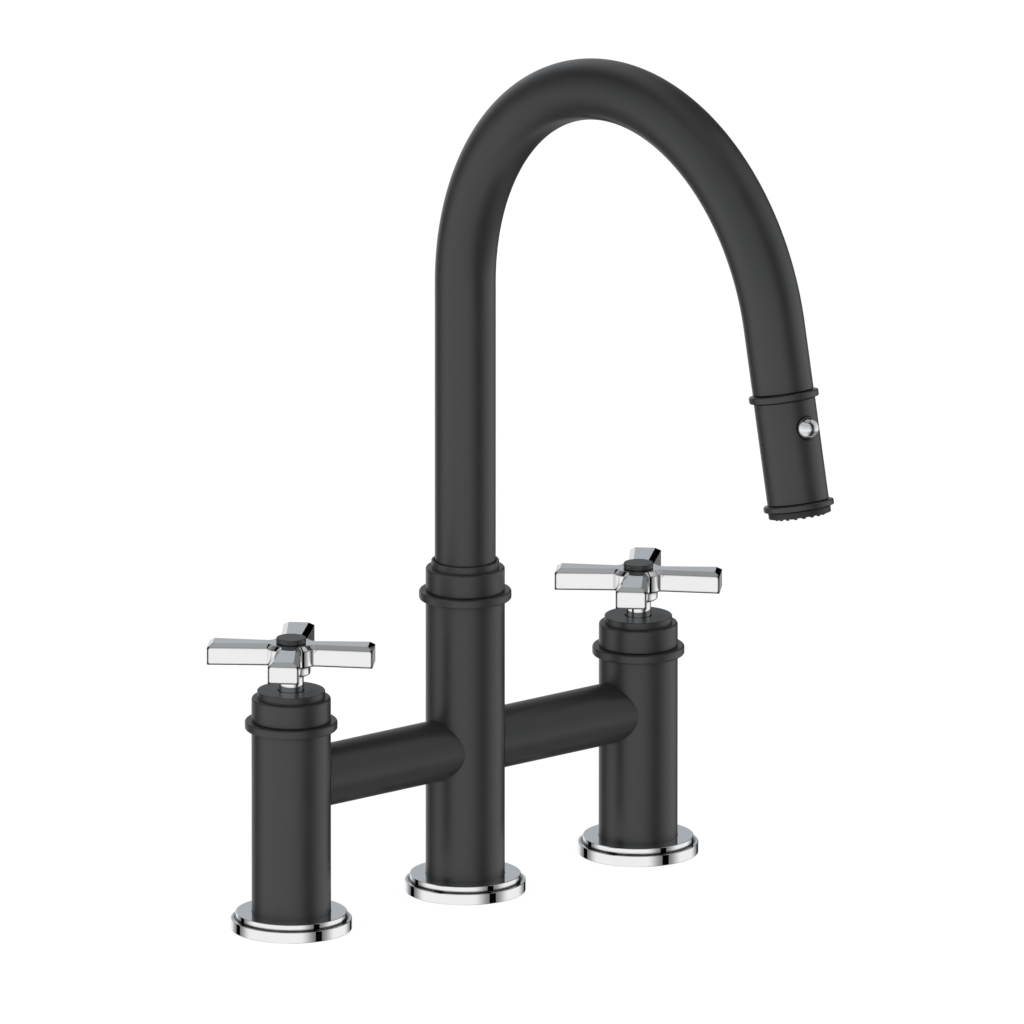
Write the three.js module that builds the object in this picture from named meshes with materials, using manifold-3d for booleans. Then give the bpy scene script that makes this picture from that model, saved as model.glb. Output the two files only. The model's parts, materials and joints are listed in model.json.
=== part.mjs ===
// Bridge kitchen faucet: three posts, a bridge tube between them, two cross handles on ceramic-disc
// valves, and a swivelling gooseneck spout with a pull-out spray head docked in its end.
// Millimetres, +Z up. The origin is on the centre post's axis at deck level. The bridge runs along X,
// with the hot side at -X, and the spout reaches out along -Y.

import * as THREE from 'three';
import { mergeVertices } from 'three/addons/utils/BufferGeometryUtils.js';
import Module from 'manifold-3d';

const wasm = await Module();
wasm.setup();

// ---------------------------------------------------------------------------------------------
// Driving dimensions
// ---------------------------------------------------------------------------------------------

// Clearances
const fit = 0.3;              // between fixed pieces that slip into each other
const runningFit = 0.4;       // round a piece that turns or slides
const discGap = 0.1;          // between the lapped faces of the two ceramic discs
const dockGap = 0.3;          // between the spout's end and the docked spray head

// Posts
const postSpacing = 203.2;    // hot post's axis to cold post's axis
const postRadius = 17.85;
const postBoreRadius = 13;
const postNeckRadius = 15;    // the bonnet screws over this neck
const postNeckHeight = 9.6;
const sidePostHeight = 92.8;  // deck to the underside of the collar ring
const centerPostHeight = 136.1;
const portRadius = 8;         // water port from a post into the bridge

// Flanges and gaskets
const flangeRadius = 27.3;
const flangeStepRadius = 25.1;
const flangeRimHeight = 5;
const flangeHeight = 7.86;
const flangeEdge = 0.4;
const gasketRadius = 23.6;
const gasketHeight = 1.6;

// Bridge
const bridgeRadius = 13.85;
const bridgeWall = 2.4;
const bridgeHeight = 67.7;

// Collar rings and bonnets
const collarRadius = 20.85;
const collarHeight = 4.1;
const collarEdge = 0.9;
const bonnetHeight = 10.7;
const bonnetEdge = 1;
const capRadius = 15.3;       // raised disc on top of a bonnet
const capHeight = 3.2;
const capEdge = 0.3;

// Supply side, inside an outer post
const footHeight = 14;
const socketRadius = 9;       // the supply shank screws in here
const socketDepth = 9;
const riserRadius = 6;
const riserWall = 1.8;
const riserSeatDepth = 2;
const cupRadius = 9.4;        // the riser's cup under the cartridge
const cupWall = 2.4;
const cupDepth = 3;
const cupFloor = 3;
const sealHeight = 1.5;

// Ceramic-disc cartridge
const cartridgeLength = 22.4; // seal to the underside of its clamping flange
const cartridgeWall = 1.4;
const clampRadius = 14.7;
const clampHeight = 2;
const cartridgeNeckRadius = 8.6;
const cartridgeNeckHeight = 3.4;
const chamberRoof = 2.4;      // brass above the cartridge's chamber, below the clamping flange
const discThickness = 2.6;
const discPortRadius = 1.9;
const discPortOffset = 4.8;
const notchRadius = 2.6;
const notchOffset = 6.4;
const windowWidth = 8;
const windowHeight = 7;

// Valve stem and handle screw
const stemRadius = 4;
const stemDriverHeight = 2.7;
const stemSocketDepth = 4.1;  // the arms' underside to the stem's top
const screwRadius = 1.6;
const screwLength = 18;
const screwSeatDepth = 6.9;   // the arms' top to the screw head's seat
const tapRunout = 2;          // tapped hole past the screw's end
const screwHeadRadius = 3.4;
const screwHeadHeight = 3;
const screwKeyRadius = 1.5;
const screwKeyDepth = 1.8;

// Cross handle
const skirtRadius = 5.72;
const skirtDepth = 1.9;       // how far the skirt reaches into the bonnet
const skirtHoleRadius = 6.1;  // the hole for it in the bonnet
const bossRise = 7.6;         // bonnet's top to the boss
const bossRadius = 8.75;
const bossHeight = 4.9;
const bossEdge = 1;
const bossOverlap = 1;        // how far the boss runs up into the arms
const armReach = 37.4;        // handle's axis to an arm's tip
const armTipWidth = 14;
const armTaper = 3.1;         // degrees a side, narrowing towards the hub
const armHeight = 9.6;
const hubRadius = 11.8;       // round middle that the arms grow from
const armFillet = 0.9;        // between an arm and the round middle
const armChamferWidth = 2.3;
const armChamferHeight = 1.7;
const armTurn = 45;           // degrees from the bridge to the arms
const buttonRadius = 6.75;    // index button
const buttonHeight = 2.35;
const buttonEdge = 0.4;
const plugRadius = 5;
const plugDepth = 2.7;

// Centre post: hose sleeve, spout bearing and seals
const sleeveRadius = 8.3;
const sleeveWall = 1;
const outletRadius = 1.5;     // mixed-water outlets round the sleeve
const outletCount = 6;
const bearingHeight = 1.5;    // upper swivel bush, on the post's neck
const lowerBushHeight = 12;
const lowerBushTop = 12.1;    // below the collar ring's underside
const bushWall = 1.4;
const spigotInsert = 12.5;    // how far the spigot reaches up into the spout tube
const spigotRadius = 12.4;
const spigotBoreRadius = 9;
const spigotBelowBush = 4;
const ringGrooveHeight = 3;
const ringGrooveDepth = 1.8;
const ringHeights = [-8.1, -2.1]; // O-ring grooves, from the collar ring's underside
const clipHeight = 1.2;
const clipDepth = 1.2;
const clipRise = 1.2;         // radial height of the retaining ring above the spigot

// Gooseneck spout
const spoutRadius = 13.83;
const spoutWall = 1.4;
const archHeight = 283.12;    // deck to the arch's centre
const archRadius = 109.18;
const archSweep = 167.75;     // degrees
const spoutDrop = 29.7;       // straight end past the arch

// Spray hose, inside the spout
const hoseRadius = 5.8;
const hoseFootHeight = 6.3;
const ferruleRadius = 6.9;
const ferruleBoreRadius = 3.4;
const footFittingHeight = 18;

// Dock and spray head, measured down along the spout's end from the arch
const dockTop = 12;
const dockThroat = 5;         // narrow part that centres the hose
const dockThroatRadius = 7.4;
const neckTop = 17.6;
const neckRadius = 9.2;
const neckBoreRadius = 7.3;
const neckFlangeRadius = 11.7;
const neckFlangeHeight = 2.5;
const ferruleTop = 19.4;
const ferruleBody = 13.2;
const ferruleFloor = 3;       // below the hose's end
const tailRadius = 5;
const tailLength = 7.2;
const headGap = 0.3;          // shadow line between the spray head's rings and shell
const headRingEdge = 0.8;
const topRingRadius = 15.8;
const topRingHeight = 3.2;
const shellRadius = 13.83;
const shellLength = 45.8;
const shellWall = 1.8;
const shellRoof = 2.2;
const bottomRingRadius = 15.95;
const bottomRingHeight = 2.8;
const faceRadius = 14.05;
const faceHeight = 2.8;
const faceRim = 1;
const faceBarrelLength = 6;
const matRecess = 1.2;
const matHeight = 1;
const nozzleRadius = 1;
const nozzleTipRadius = 0.7;
const nozzleHeight = 0.7;
const nozzleRings = [[10.9, 18], [7.3, 9]]; // radius and count of each ring of nozzles
const aeratorRadius = 4.2;
const aeratorHeight = 1.5;
const aeratorEdge = 0.4;

// Diverter and mode button
const diverterRadius = 11.2;
const diverterLength = 36.3;
const diverterBoreRadius = 2;
const plenumRadius = 9;
const plenumDepth = 4;
const ballRadius = 5.2;
const ballDrop = 46.2;        // below the arch's end
const ballInset = 0.05;       // its centre lies this far inside the shell's surface
const ballTravel = 2.5;
const plungerRadius = 2.6;
const plungerTip = 4.6;       // from the head's axis
const springRadius = 2;
const springWire = 0.4;
const springTurns = 5;
const springLength = 8;

// Facets
const bodySides = 20;
const turnedSides = 14;
const innerSides = 12;
const smallSides = 10;
const outletSides = 6;
const nozzleSides = 5;
const spoutSides = 20;
const spoutBoreSides = 12;
const spoutSteps = 40;
const hoseSides = 8;
const hoseSteps = 36;
const wireSides = 4;
const wireSteps = 7;          // a turn
const filletSteps = 2;
const hubSteps = 4;            // round the middle, from one arm to the next

const finishes = {
  satinBlack: { color: 0x3a3a3b, roughness: 0.5, metalness: 0.35 },
  chrome: { color: 0xd9dcde, roughness: 0.06, metalness: 1 },
  brass: { color: 0xb8975a, roughness: 0.32, metalness: 1 },
  ceramic: { color: 0xf1efe9, roughness: 0.25, metalness: 0 },
  rubber: { color: 0x1b1b1c, roughness: 0.8, metalness: 0 },
  plastic: { color: 0x2a2b2c, roughness: 0.55, metalness: 0 },
  steel: { color: 0xa8abad, roughness: 0.3, metalness: 1 },
  braid: { color: 0x5b5d60, roughness: 0.6, metalness: 0 },
};

// ---------------------------------------------------------------------------------------------
// Shape helpers
// ---------------------------------------------------------------------------------------------

// A solid of revolution about Z. The profile is a list of [radius, height], anticlockwise.
function revolve(profile, sides) {
  const points = profile.map(([radius, height]) => new THREE.Vector2(radius, height));
  points.push(points[0].clone());
  return new THREE.LatheGeometry(points, sides).rotateX(Math.PI / 2);
}

// A plain rod about Z from one height to another.
function rod(radius, from, to, sides) {
  return revolve([[0, from], [radius, from], [radius, to], [0, to]], sides);
}

// A rod along Y, from one y to another, at the given height.
function rodAlongY(radius, from, to, height, sides) {
  return rod(radius, from, to, sides).rotateX(-Math.PI / 2).translate(0, 0, height);
}

function circle(radius, sides) {
  const points = [];
  for (let i = 0; i < sides; i += 1) {
    const angle = (2 * Math.PI * i) / sides;
    points.push(new THREE.Vector2(radius * Math.cos(angle), radius * Math.sin(angle)));
  }
  return points;
}

// A closed solid through outlines of equal length, each given as { height, points }.
function loft(layers) {
  const count = layers[0].points.length;
  const positions = layers.flatMap(({ height, points }) => points.flatMap((p) => [p.x, p.y, height]));
  const faces = [];
  for (let layer = 0; layer + 1 < layers.length; layer += 1) {
    for (let i = 0; i < count; i += 1) {
      const low = layer * count + i;
      const lowNext = layer * count + ((i + 1) % count);
      faces.push(low, lowNext, lowNext + count, low, lowNext + count, low + count);
    }
  }
  const top = (layers.length - 1) * count;
  for (const [a, b, c] of THREE.ShapeUtils.triangulateShape(layers[0].points, [])) {
    faces.push(c, b, a);
  }
  for (const [a, b, c] of THREE.ShapeUtils.triangulateShape(layers.at(-1).points, [])) {
    faces.push(top + a, top + b, top + c);
  }
  const geometry = new THREE.BufferGeometry();
  geometry.setAttribute('position', new THREE.Float32BufferAttribute(positions, 3));
  geometry.setIndex(faces);
  return geometry;
}

function solidOf(geometry) {
  const bare = geometry.clone();
  bare.deleteAttribute('normal');
  bare.deleteAttribute('uv');
  const merged = mergeVertices(bare);
  return new wasm.Manifold(new wasm.Mesh({
    numProp: 3,
    vertProperties: new Float32Array(merged.attributes.position.array),
    triVerts: new Uint32Array(merged.index.array),
  }));
}

function geometryOf(solid) {
  const mesh = solid.getMesh();
  const geometry = new THREE.BufferGeometry();
  geometry.setAttribute('position', new THREE.Float32BufferAttribute(mesh.vertProperties, 3));
  geometry.setIndex(new THREE.Uint32BufferAttribute(mesh.triVerts, 1));
  return geometry;
}

function cut(geometry, ...tools) {
  return geometryOf(tools.reduce((solid, tool) => solid.subtract(solidOf(tool)), solidOf(geometry)));
}

function join(geometry, ...others) {
  return geometryOf(others.reduce((solid, other) => solid.add(solidOf(other)), solidOf(geometry)));
}

function addPiece(parent, name, finish, geometry) {
  const mesh = new THREE.Mesh(geometry, new THREE.MeshStandardMaterial(finishes[finish]));
  mesh.name = name;
  parent.add(mesh);
}

// The gooseneck's centre line: straight up from a height, over the arch, and straight on past it.
class SpoutPath extends THREE.Curve {
  constructor(fromHeight, drop) {
    super();
    this.fromHeight = fromHeight;
    this.rise = archHeight - fromHeight;
    this.arch = archRadius * THREE.MathUtils.degToRad(archSweep);
    this.drop = drop;
  }

  getPoint(t, target = new THREE.Vector3()) {
    const distance = t * (this.rise + this.arch + this.drop);
    if (distance < this.rise) {
      return target.set(0, 0, this.fromHeight + distance);
    }
    const turn = Math.min(distance - this.rise, this.arch) / archRadius;
    const past = Math.max(distance - this.rise - this.arch, 0);
    const y = archRadius * (Math.cos(turn) - 1) - past * Math.sin(turn);
    const z = archHeight + archRadius * Math.sin(turn) + past * Math.cos(turn);
    return target.set(0, y, z);
  }
}

// A helix about Y, from one y to another.
class SpringPath extends THREE.Curve {
  constructor(from, to, height) {
    super();
    this.from = from;
    this.to = to;
    this.height = height;
  }

  getPoint(t, target = new THREE.Vector3()) {
    const angle = 2 * Math.PI * springTurns * t;
    const x = springRadius * Math.cos(angle);
    const z = this.height + springRadius * Math.sin(angle);
    return target.set(x, THREE.MathUtils.lerp(this.from, this.to, t), z);
  }
}

function sweep(shape, path, steps) {
  return new THREE.ExtrudeGeometry(shape, { steps, bevelEnabled: false, extrudePath: path });
}

// ---------------------------------------------------------------------------------------------
// Heights that several pieces share
// ---------------------------------------------------------------------------------------------

const flangeBoreRadius = postRadius + fit;
const bonnetBoreRadius = postNeckRadius + fit;
const headTilt = THREE.MathUtils.degToRad(archSweep - 180);
// What fits in the spout tube clears the flats of its faceted bore.
const insertRadius = (spoutRadius - spoutWall) * Math.cos(Math.PI / spoutBoreSides) - fit;

function postLevels(postHeight) {
  const bonnetFoot = postHeight + collarHeight;
  const capFoot = bonnetFoot + bonnetHeight;
  return { shoulder: postHeight, neckTop: postHeight + postNeckHeight, bonnetFoot, capFoot,
    capTop: capFoot + capHeight };
}

const side = postLevels(sidePostHeight);
const center = postLevels(centerPostHeight);
const clampTop = side.neckTop + clampHeight;
const sealTop = side.neckTop - cartridgeLength;
const driverFoot = sealTop + 2 * discThickness + discGap;
const armFoot = side.capTop + bossRise + bossHeight;
const armTop = armFoot + armHeight;
const stemTop = armFoot - stemSocketDepth;
const screwSeat = armTop - screwSeatDepth;
const bearingTop = center.neckTop + bearingHeight;
const spoutFoot = bearingTop + fit;
const lowerBushCeiling = center.shoulder - lowerBushTop;
const lowerBushFloor = lowerBushCeiling - lowerBushHeight;

// ---------------------------------------------------------------------------------------------
// Posts, flanges, bridge
// ---------------------------------------------------------------------------------------------

// portTowards lists the directions along X in which the post opens into the bridge.
function column(levels, portTowards) {
  const shell = revolve([
    [postBoreRadius, 0],
    [postRadius, 0],
    [postRadius, levels.shoulder],
    [postNeckRadius, levels.shoulder],
    [postNeckRadius, levels.neckTop],
    [postBoreRadius, levels.neckTop],
  ], bodySides);
  const ports = portTowards.map((direction) => rod(portRadius, 0, postRadius + fit, smallSides)
    .rotateY(direction * Math.PI / 2)
    .translate(0, 0, bridgeHeight));
  return cut(shell, ...ports);
}

function flange() {
  return revolve([
    [flangeBoreRadius, gasketHeight],
    [gasketRadius + fit, gasketHeight],
    [gasketRadius + fit, 0],
    [flangeRadius, 0],
    [flangeRadius, flangeRimHeight - flangeEdge],
    [flangeRadius - flangeEdge, flangeRimHeight],
    [flangeStepRadius, flangeRimHeight],
    [flangeStepRadius, flangeHeight - flangeEdge],
    [flangeStepRadius - flangeEdge, flangeHeight],
    [flangeBoreRadius, flangeHeight],
  ], bodySides);
}

function gasket() {
  return revolve([
    [flangeBoreRadius + fit, 0],
    [gasketRadius, 0],
    [gasketRadius, gasketHeight],
    [flangeBoreRadius + fit, gasketHeight],
  ], turnedSides);
}

// One half of the bridge, saddled onto the centre post and an outer post.
function bridgeTube(direction) {
  const tube = revolve([
    [bridgeRadius - bridgeWall, 0],
    [bridgeRadius, 0],
    [bridgeRadius, postSpacing / 2],
    [bridgeRadius - bridgeWall, postSpacing / 2],
  ], bodySides).rotateY(direction * Math.PI / 2).translate(0, 0, bridgeHeight);
  const postEnvelope = rod(postRadius + fit, 0, sidePostHeight, bodySides);
  const outerEnvelope = postEnvelope.clone().translate(direction * postSpacing / 2, 0, 0);
  return cut(tube, postEnvelope, outerEnvelope);
}

function collarRing(levels) {
  return revolve([
    [bonnetBoreRadius, levels.shoulder],
    [collarRadius - collarEdge, levels.shoulder],
    [collarRadius, levels.shoulder + collarEdge],
    [collarRadius, levels.bonnetFoot - collarEdge],
    [collarRadius - collarEdge, levels.bonnetFoot],
    [bonnetBoreRadius, levels.bonnetFoot],
  ], bodySides);
}

// The bonnet's outside is the same on every post; inside lists its bore from the top down.
function bonnet(levels, inside) {
  return revolve([
    [bonnetBoreRadius, levels.bonnetFoot],
    [postRadius, levels.bonnetFoot],
    [postRadius, levels.capFoot - bonnetEdge],
    [postRadius - bonnetEdge, levels.capFoot],
    [capRadius, levels.capFoot],
    [capRadius, levels.capTop - capEdge],
    [capRadius - capEdge, levels.capTop],
    ...inside,
  ], bodySides);
}

function addPost(parent, prefix, x, levels, portTowards, bonnetInside) {
  const post = new THREE.Group();
  post.position.x = x;
  parent.add(post);
  addPiece(post, `${prefix}_column`, 'satinBlack', column(levels, portTowards));
  addPiece(post, `${prefix}_flange`, 'chrome', flange());
  addPiece(post, `${prefix}_flange_gasket`, 'rubber', gasket());
  addPiece(post, `${prefix}_collar_ring`, 'satinBlack', collarRing(levels));
  addPiece(post, `${prefix}_bonnet`, 'satinBlack', bonnet(levels, bonnetInside));
  return post;
}

// ---------------------------------------------------------------------------------------------
// Supply riser and ceramic-disc valve of an outer post
// ---------------------------------------------------------------------------------------------

function footBush() {
  const riserSeat = footHeight - riserSeatDepth;
  return revolve([
    [socketRadius, 0],
    [postBoreRadius - fit, 0],
    [postBoreRadius - fit, footHeight],
    [riserRadius + fit, footHeight],
    [riserRadius + fit, riserSeat],
    [riserRadius - riserWall, riserSeat],
    [riserRadius - riserWall, socketDepth],
    [socketRadius, socketDepth],
  ], innerSides);
}

// Carries supply water up to the cartridge; its cup holds the seat seal.
function riserTube() {
  const cupTop = sealTop - sealHeight;
  const cupFoot = cupTop - cupDepth - cupFloor;
  return revolve([
    [riserRadius - riserWall, footHeight - riserSeatDepth],
    [riserRadius, footHeight - riserSeatDepth],
    [riserRadius, cupFoot],
    [cupRadius, cupFoot],
    [cupRadius, cupTop],
    [cupRadius - cupWall, cupTop],
    [cupRadius - cupWall, cupTop - cupDepth],
    [riserRadius - riserWall, cupTop - cupDepth],
  ], innerSides);
}

function seatSeal() {
  return revolve([
    [cupRadius - cupWall, sealTop - sealHeight],
    [cupRadius, sealTop - sealHeight],
    [cupRadius, sealTop],
    [cupRadius - cupWall, sealTop],
  ], innerSides);
}

function cartridgeBody() {
  const chamberRadius = cupRadius - cartridgeWall;
  const chamberTop = side.neckTop - chamberRoof;
  const neckHeight = clampTop + cartridgeNeckHeight;
  const body = revolve([
    [chamberRadius, sealTop],
    [cupRadius, sealTop],
    [cupRadius, side.neckTop],
    [clampRadius, side.neckTop],
    [clampRadius, clampTop],
    [cartridgeNeckRadius, clampTop],
    [cartridgeNeckRadius, neckHeight],
    [stemRadius + runningFit, neckHeight],
    [stemRadius + runningFit, chamberTop],
    [chamberRadius, chamberTop],
  ], innerSides);
  // The outlet windows sit at the turning disc's level.
  const windowFoot = sealTop + discThickness + discGap;
  const windows = new THREE.BoxGeometry(windowWidth, 3 * cupRadius, windowHeight)
    .translate(0, 0, windowFoot + windowHeight / 2);
  return cut(body, windows);
}

function discRadius() {
  return cupRadius - cartridgeWall - fit;
}

// Lower disc: two ports, on the Y axis.
function fixedDisc() {
  const disc = rod(discRadius(), sealTop, sealTop + discThickness, innerSides);
  const ports = [-1, 1].map((way) => rod(discPortRadius, sealTop - 1, driverFoot, smallSides)
    .translate(0, way * discPortOffset, 0));
  return cut(disc, ...ports);
}

// Upper disc: two notches, on the X axis while the valve is shut.
function turningDisc() {
  const foot = sealTop + discThickness + discGap;
  const disc = rod(discRadius() - fit / 2, foot, driverFoot, innerSides);
  const notches = [-1, 1].map((way) => rod(notchRadius, foot - 1, driverFoot + 1, smallSides)
    .translate(way * notchOffset, 0, 0));
  return cut(disc, ...notches);
}

function valveStem() {
  const driverTop = driverFoot + stemDriverHeight;
  const holeFloor = screwSeat - screwLength - tapRunout;
  return revolve([
    [0, driverFoot],
    [discRadius() - fit / 2, driverFoot],
    [discRadius() - fit / 2, driverTop],
    [stemRadius, driverTop],
    [stemRadius, stemTop],
    [screwRadius + fit, stemTop],
    [screwRadius + fit, holeFloor],
    [0, holeFloor],
  ], innerSides);
}

// ---------------------------------------------------------------------------------------------
// Cross handle
// ---------------------------------------------------------------------------------------------

// Outline of the round middle and its four tapered arms, drawn in by an inset. A small fillet
// joins each side of an arm to the middle.
function crossOutline(inset) {
  const taper = THREE.MathUtils.degToRad(armTaper);
  const tip = armReach - inset;
  const sideAt = (x) => armTipWidth / 2 - inset / Math.cos(taper) - (armReach - x) * Math.tan(taper);
  const hub = hubRadius - inset;
  const fillet = armFillet + inset;
  const bearing = taper + Math.asin((sideAt(0) * Math.cos(taper) + fillet) / (hub + fillet));
  const spot = (radius, angle) => new THREE.Vector2(radius * Math.cos(angle), radius * Math.sin(angle));
  const curve = [];
  for (let i = 0; i <= filletSteps; i += 1) {
    const angle = taper - Math.PI / 2 - (i / filletSteps) * (Math.PI / 2 + taper - bearing);
    curve.push(spot(hub + fillet, bearing).add(spot(fillet, angle)));
  }
  const middle = [];
  for (let i = 1; i < hubSteps; i += 1) {
    middle.push(spot(hub, bearing + (i / hubSteps) * (Math.PI / 2 - 2 * bearing)));
  }
  const mirrored = curve.map((point) => new THREE.Vector2(point.y, point.x)).reverse();
  const outline = [];
  for (let arm = 0; arm < 4; arm += 1) {
    const ends = [new THREE.Vector2(tip, -sideAt(tip)), new THREE.Vector2(tip, sideAt(tip))];
    const points = [...ends, ...curve, ...middle, ...mirrored];
    const turn = THREE.MathUtils.degToRad(armTurn + 90 * arm);
    outline.push(...points.map((point) => point.clone().rotateAround(new THREE.Vector2(), turn)));
  }
  return outline;
}

function crossHandle() {
  const arms = loft([
    { height: armFoot, points: crossOutline(0) },
    { height: armTop - armChamferHeight, points: crossOutline(0) },
    { height: armTop, points: crossOutline(armChamferWidth) },
  ]);
  const skirtFoot = side.capTop - skirtDepth;
  const bossFoot = armFoot - bossHeight;
  const hub = revolve([
    [0, skirtFoot],
    [skirtRadius, skirtFoot],
    [skirtRadius, bossFoot],
    [bossRadius - bossEdge, bossFoot],
    [bossRadius, bossFoot + bossEdge],
    [bossRadius, armFoot + bossOverlap],
    [0, armFoot + bossOverlap],
  ], turnedSides);
  const socketTop = stemTop + fit;
  const bore = revolve([
    [0, skirtFoot - 1],
    [stemRadius + fit, skirtFoot - 1],
    [stemRadius + fit, socketTop],
    [screwRadius + fit, socketTop],
    [screwRadius + fit, screwSeat],
    [screwHeadRadius + fit, screwSeat],
    [screwHeadRadius + fit, armTop - plugDepth - fit],
    [plugRadius + fit, armTop - plugDepth - fit],
    [plugRadius + fit, armTop + 1],
    [0, armTop + 1],
  ], innerSides);
  return cut(join(arms, hub), bore);
}

function handleScrew() {
  const headTop = screwSeat + screwHeadHeight;
  const body = revolve([
    [0, screwSeat - screwLength],
    [screwRadius, screwSeat - screwLength],
    [screwRadius, screwSeat],
    [screwHeadRadius, screwSeat],
    [screwHeadRadius, headTop],
    [0, headTop],
  ], smallSides);
  return cut(body, rod(screwKeyRadius, headTop - screwKeyDepth, headTop + 1, 6));
}

function indexButton() {
  return revolve([
    [0, armTop - plugDepth],
    [plugRadius, armTop - plugDepth],
    [plugRadius, armTop],
    [buttonRadius, armTop],
    [buttonRadius, armTop + buttonHeight - buttonEdge],
    [buttonRadius - buttonEdge, armTop + buttonHeight],
    [0, armTop + buttonHeight],
  ], turnedSides);
}

function addSidePost(parent, prefix, direction) {
  const neckHeight = clampTop + cartridgeNeckHeight + fit;
  const post = addPost(parent, prefix, direction * postSpacing / 2, side, [-direction], [
    [skirtHoleRadius, side.capTop],
    [skirtHoleRadius, neckHeight],
    [cartridgeNeckRadius + fit, neckHeight],
    [cartridgeNeckRadius + fit, clampTop],
    [bonnetBoreRadius, clampTop],
  ]);
  addPiece(post, `${prefix}_foot_bush`, 'brass', footBush());
  addPiece(post, `${prefix}_riser_tube`, 'brass', riserTube());
  addPiece(post, `${prefix}_seat_seal`, 'rubber', seatSeal());
  addPiece(post, `${prefix}_cartridge_body`, 'brass', cartridgeBody());
  addPiece(post, `${prefix}_fixed_disc`, 'ceramic', fixedDisc());
  addPiece(post, `${prefix}_turning_disc`, 'ceramic', turningDisc());
  addPiece(post, `${prefix}_valve_stem`, 'brass', valveStem());
  addPiece(post, `${prefix}_cross_handle`, 'chrome', crossHandle());
  addPiece(post, `${prefix}_handle_screw`, 'steel', handleScrew());
  addPiece(post, `${prefix}_index_button`, 'satinBlack', indexButton());
}

// ---------------------------------------------------------------------------------------------
// Centre post's inside and the spout's bearing
// ---------------------------------------------------------------------------------------------

function centerFootBush() {
  const body = revolve([
    [sleeveRadius + fit, 0],
    [postBoreRadius - fit, 0],
    [postBoreRadius - fit, footHeight],
    [sleeveRadius + fit, footHeight],
  ], innerSides);
  const outlet = rod(outletRadius, -1, footHeight + 1, outletSides);
  const outletOffset = (sleeveRadius + postBoreRadius) / 2;
  const outlets = circle(outletOffset, outletCount)
    .map((spot) => outlet.clone().translate(spot.x, spot.y, 0));
  return cut(body, ...outlets);
}

// Keeps the mixed water away from the hose.
function hoseSleeve() {
  const top = lowerBushFloor - spigotBelowBush - fit;
  return revolve([
    [sleeveRadius - sleeveWall, 0],
    [sleeveRadius, 0],
    [sleeveRadius, top],
    [sleeveRadius - sleeveWall, top],
  ], innerSides);
}

function hoseFootFitting() {
  return revolve([
    [ferruleBoreRadius, 0],
    [ferruleRadius, 0],
    [ferruleRadius, footFittingHeight],
    [hoseRadius + fit, footFittingHeight],
    [hoseRadius + fit, hoseFootHeight - fit],
    [ferruleBoreRadius, hoseFootHeight - fit],
  ], innerSides);
}

function upperSwivelBush() {
  return revolve([
    [spigotRadius + runningFit, center.neckTop],
    [postNeckRadius, center.neckTop],
    [postNeckRadius, bearingTop],
    [spigotRadius + runningFit, bearingTop],
  ], turnedSides);
}

function lowerSwivelBush() {
  return revolve([
    [postBoreRadius - fit - bushWall, lowerBushFloor],
    [postBoreRadius - fit, lowerBushFloor],
    [postBoreRadius - fit, lowerBushCeiling],
    [postBoreRadius - fit - bushWall, lowerBushCeiling],
  ], turnedSides);
}

const spigotJournalRadius = postBoreRadius - fit - bushWall - runningFit;
const clipFoot = lowerBushFloor - fit - clipHeight;

// Turned brass insert in the spout's foot: journal, retaining-ring groove and two O-ring grooves.
function spoutSpigot() {
  const spigotFoot = lowerBushFloor - spigotBelowBush;
  const profile = [
    [spigotBoreRadius, spigotFoot],
    [spigotJournalRadius, spigotFoot],
    [spigotJournalRadius, clipFoot - fit / 2],
    [spigotJournalRadius - clipDepth, clipFoot - fit / 2],
    [spigotJournalRadius - clipDepth, clipFoot + clipHeight + fit / 2],
    [spigotJournalRadius, clipFoot + clipHeight + fit / 2],
    [spigotJournalRadius, lowerBushCeiling + fit],
    [spigotRadius, lowerBushCeiling + fit],
  ];
  for (const height of ringHeights) {
    const grooveFoot = center.shoulder + height;
    profile.push([spigotRadius, grooveFoot]);
    profile.push([spigotRadius - ringGrooveDepth, grooveFoot]);
    profile.push([spigotRadius - ringGrooveDepth, grooveFoot + ringGrooveHeight]);
    profile.push([spigotRadius, grooveFoot + ringGrooveHeight]);
  }
  profile.push([spigotRadius, spoutFoot - fit]);
  profile.push([insertRadius, spoutFoot - fit]);
  profile.push([insertRadius, spoutFoot + spigotInsert]);
  profile.push([spigotBoreRadius, spoutFoot + spigotInsert]);
  return revolve(profile, turnedSides);
}

function spoutORing(height) {
  const innerRadius = spigotRadius - ringGrooveDepth + fit / 2;
  const outerRadius = spigotRadius + fit / 2;
  const foot = center.shoulder + height + fit;
  const top = foot + ringGrooveHeight - 2 * fit;
  const edge = (outerRadius - innerRadius) / 3;
  return revolve([
    [innerRadius, foot + edge],
    [innerRadius + edge, foot],
    [outerRadius, foot + edge],
    [outerRadius, top - edge],
    [innerRadius + edge, top],
    [innerRadius, top - edge],
  ], turnedSides);
}

// Open ring that snaps into the spigot's groove from below the lower bush.
function retainingRing() {
  const ring = revolve([
    [spigotJournalRadius - clipDepth + fit, clipFoot],
    [spigotJournalRadius + clipRise, clipFoot],
    [spigotJournalRadius + clipRise, clipFoot + clipHeight],
    [spigotJournalRadius - clipDepth + fit, clipFoot + clipHeight],
  ], turnedSides);
  const mouth = new THREE.BoxGeometry(postBoreRadius / 2, postBoreRadius, 3 * clipHeight)
    .translate(0, postBoreRadius, clipFoot);
  return cut(ring, mouth);
}

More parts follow.
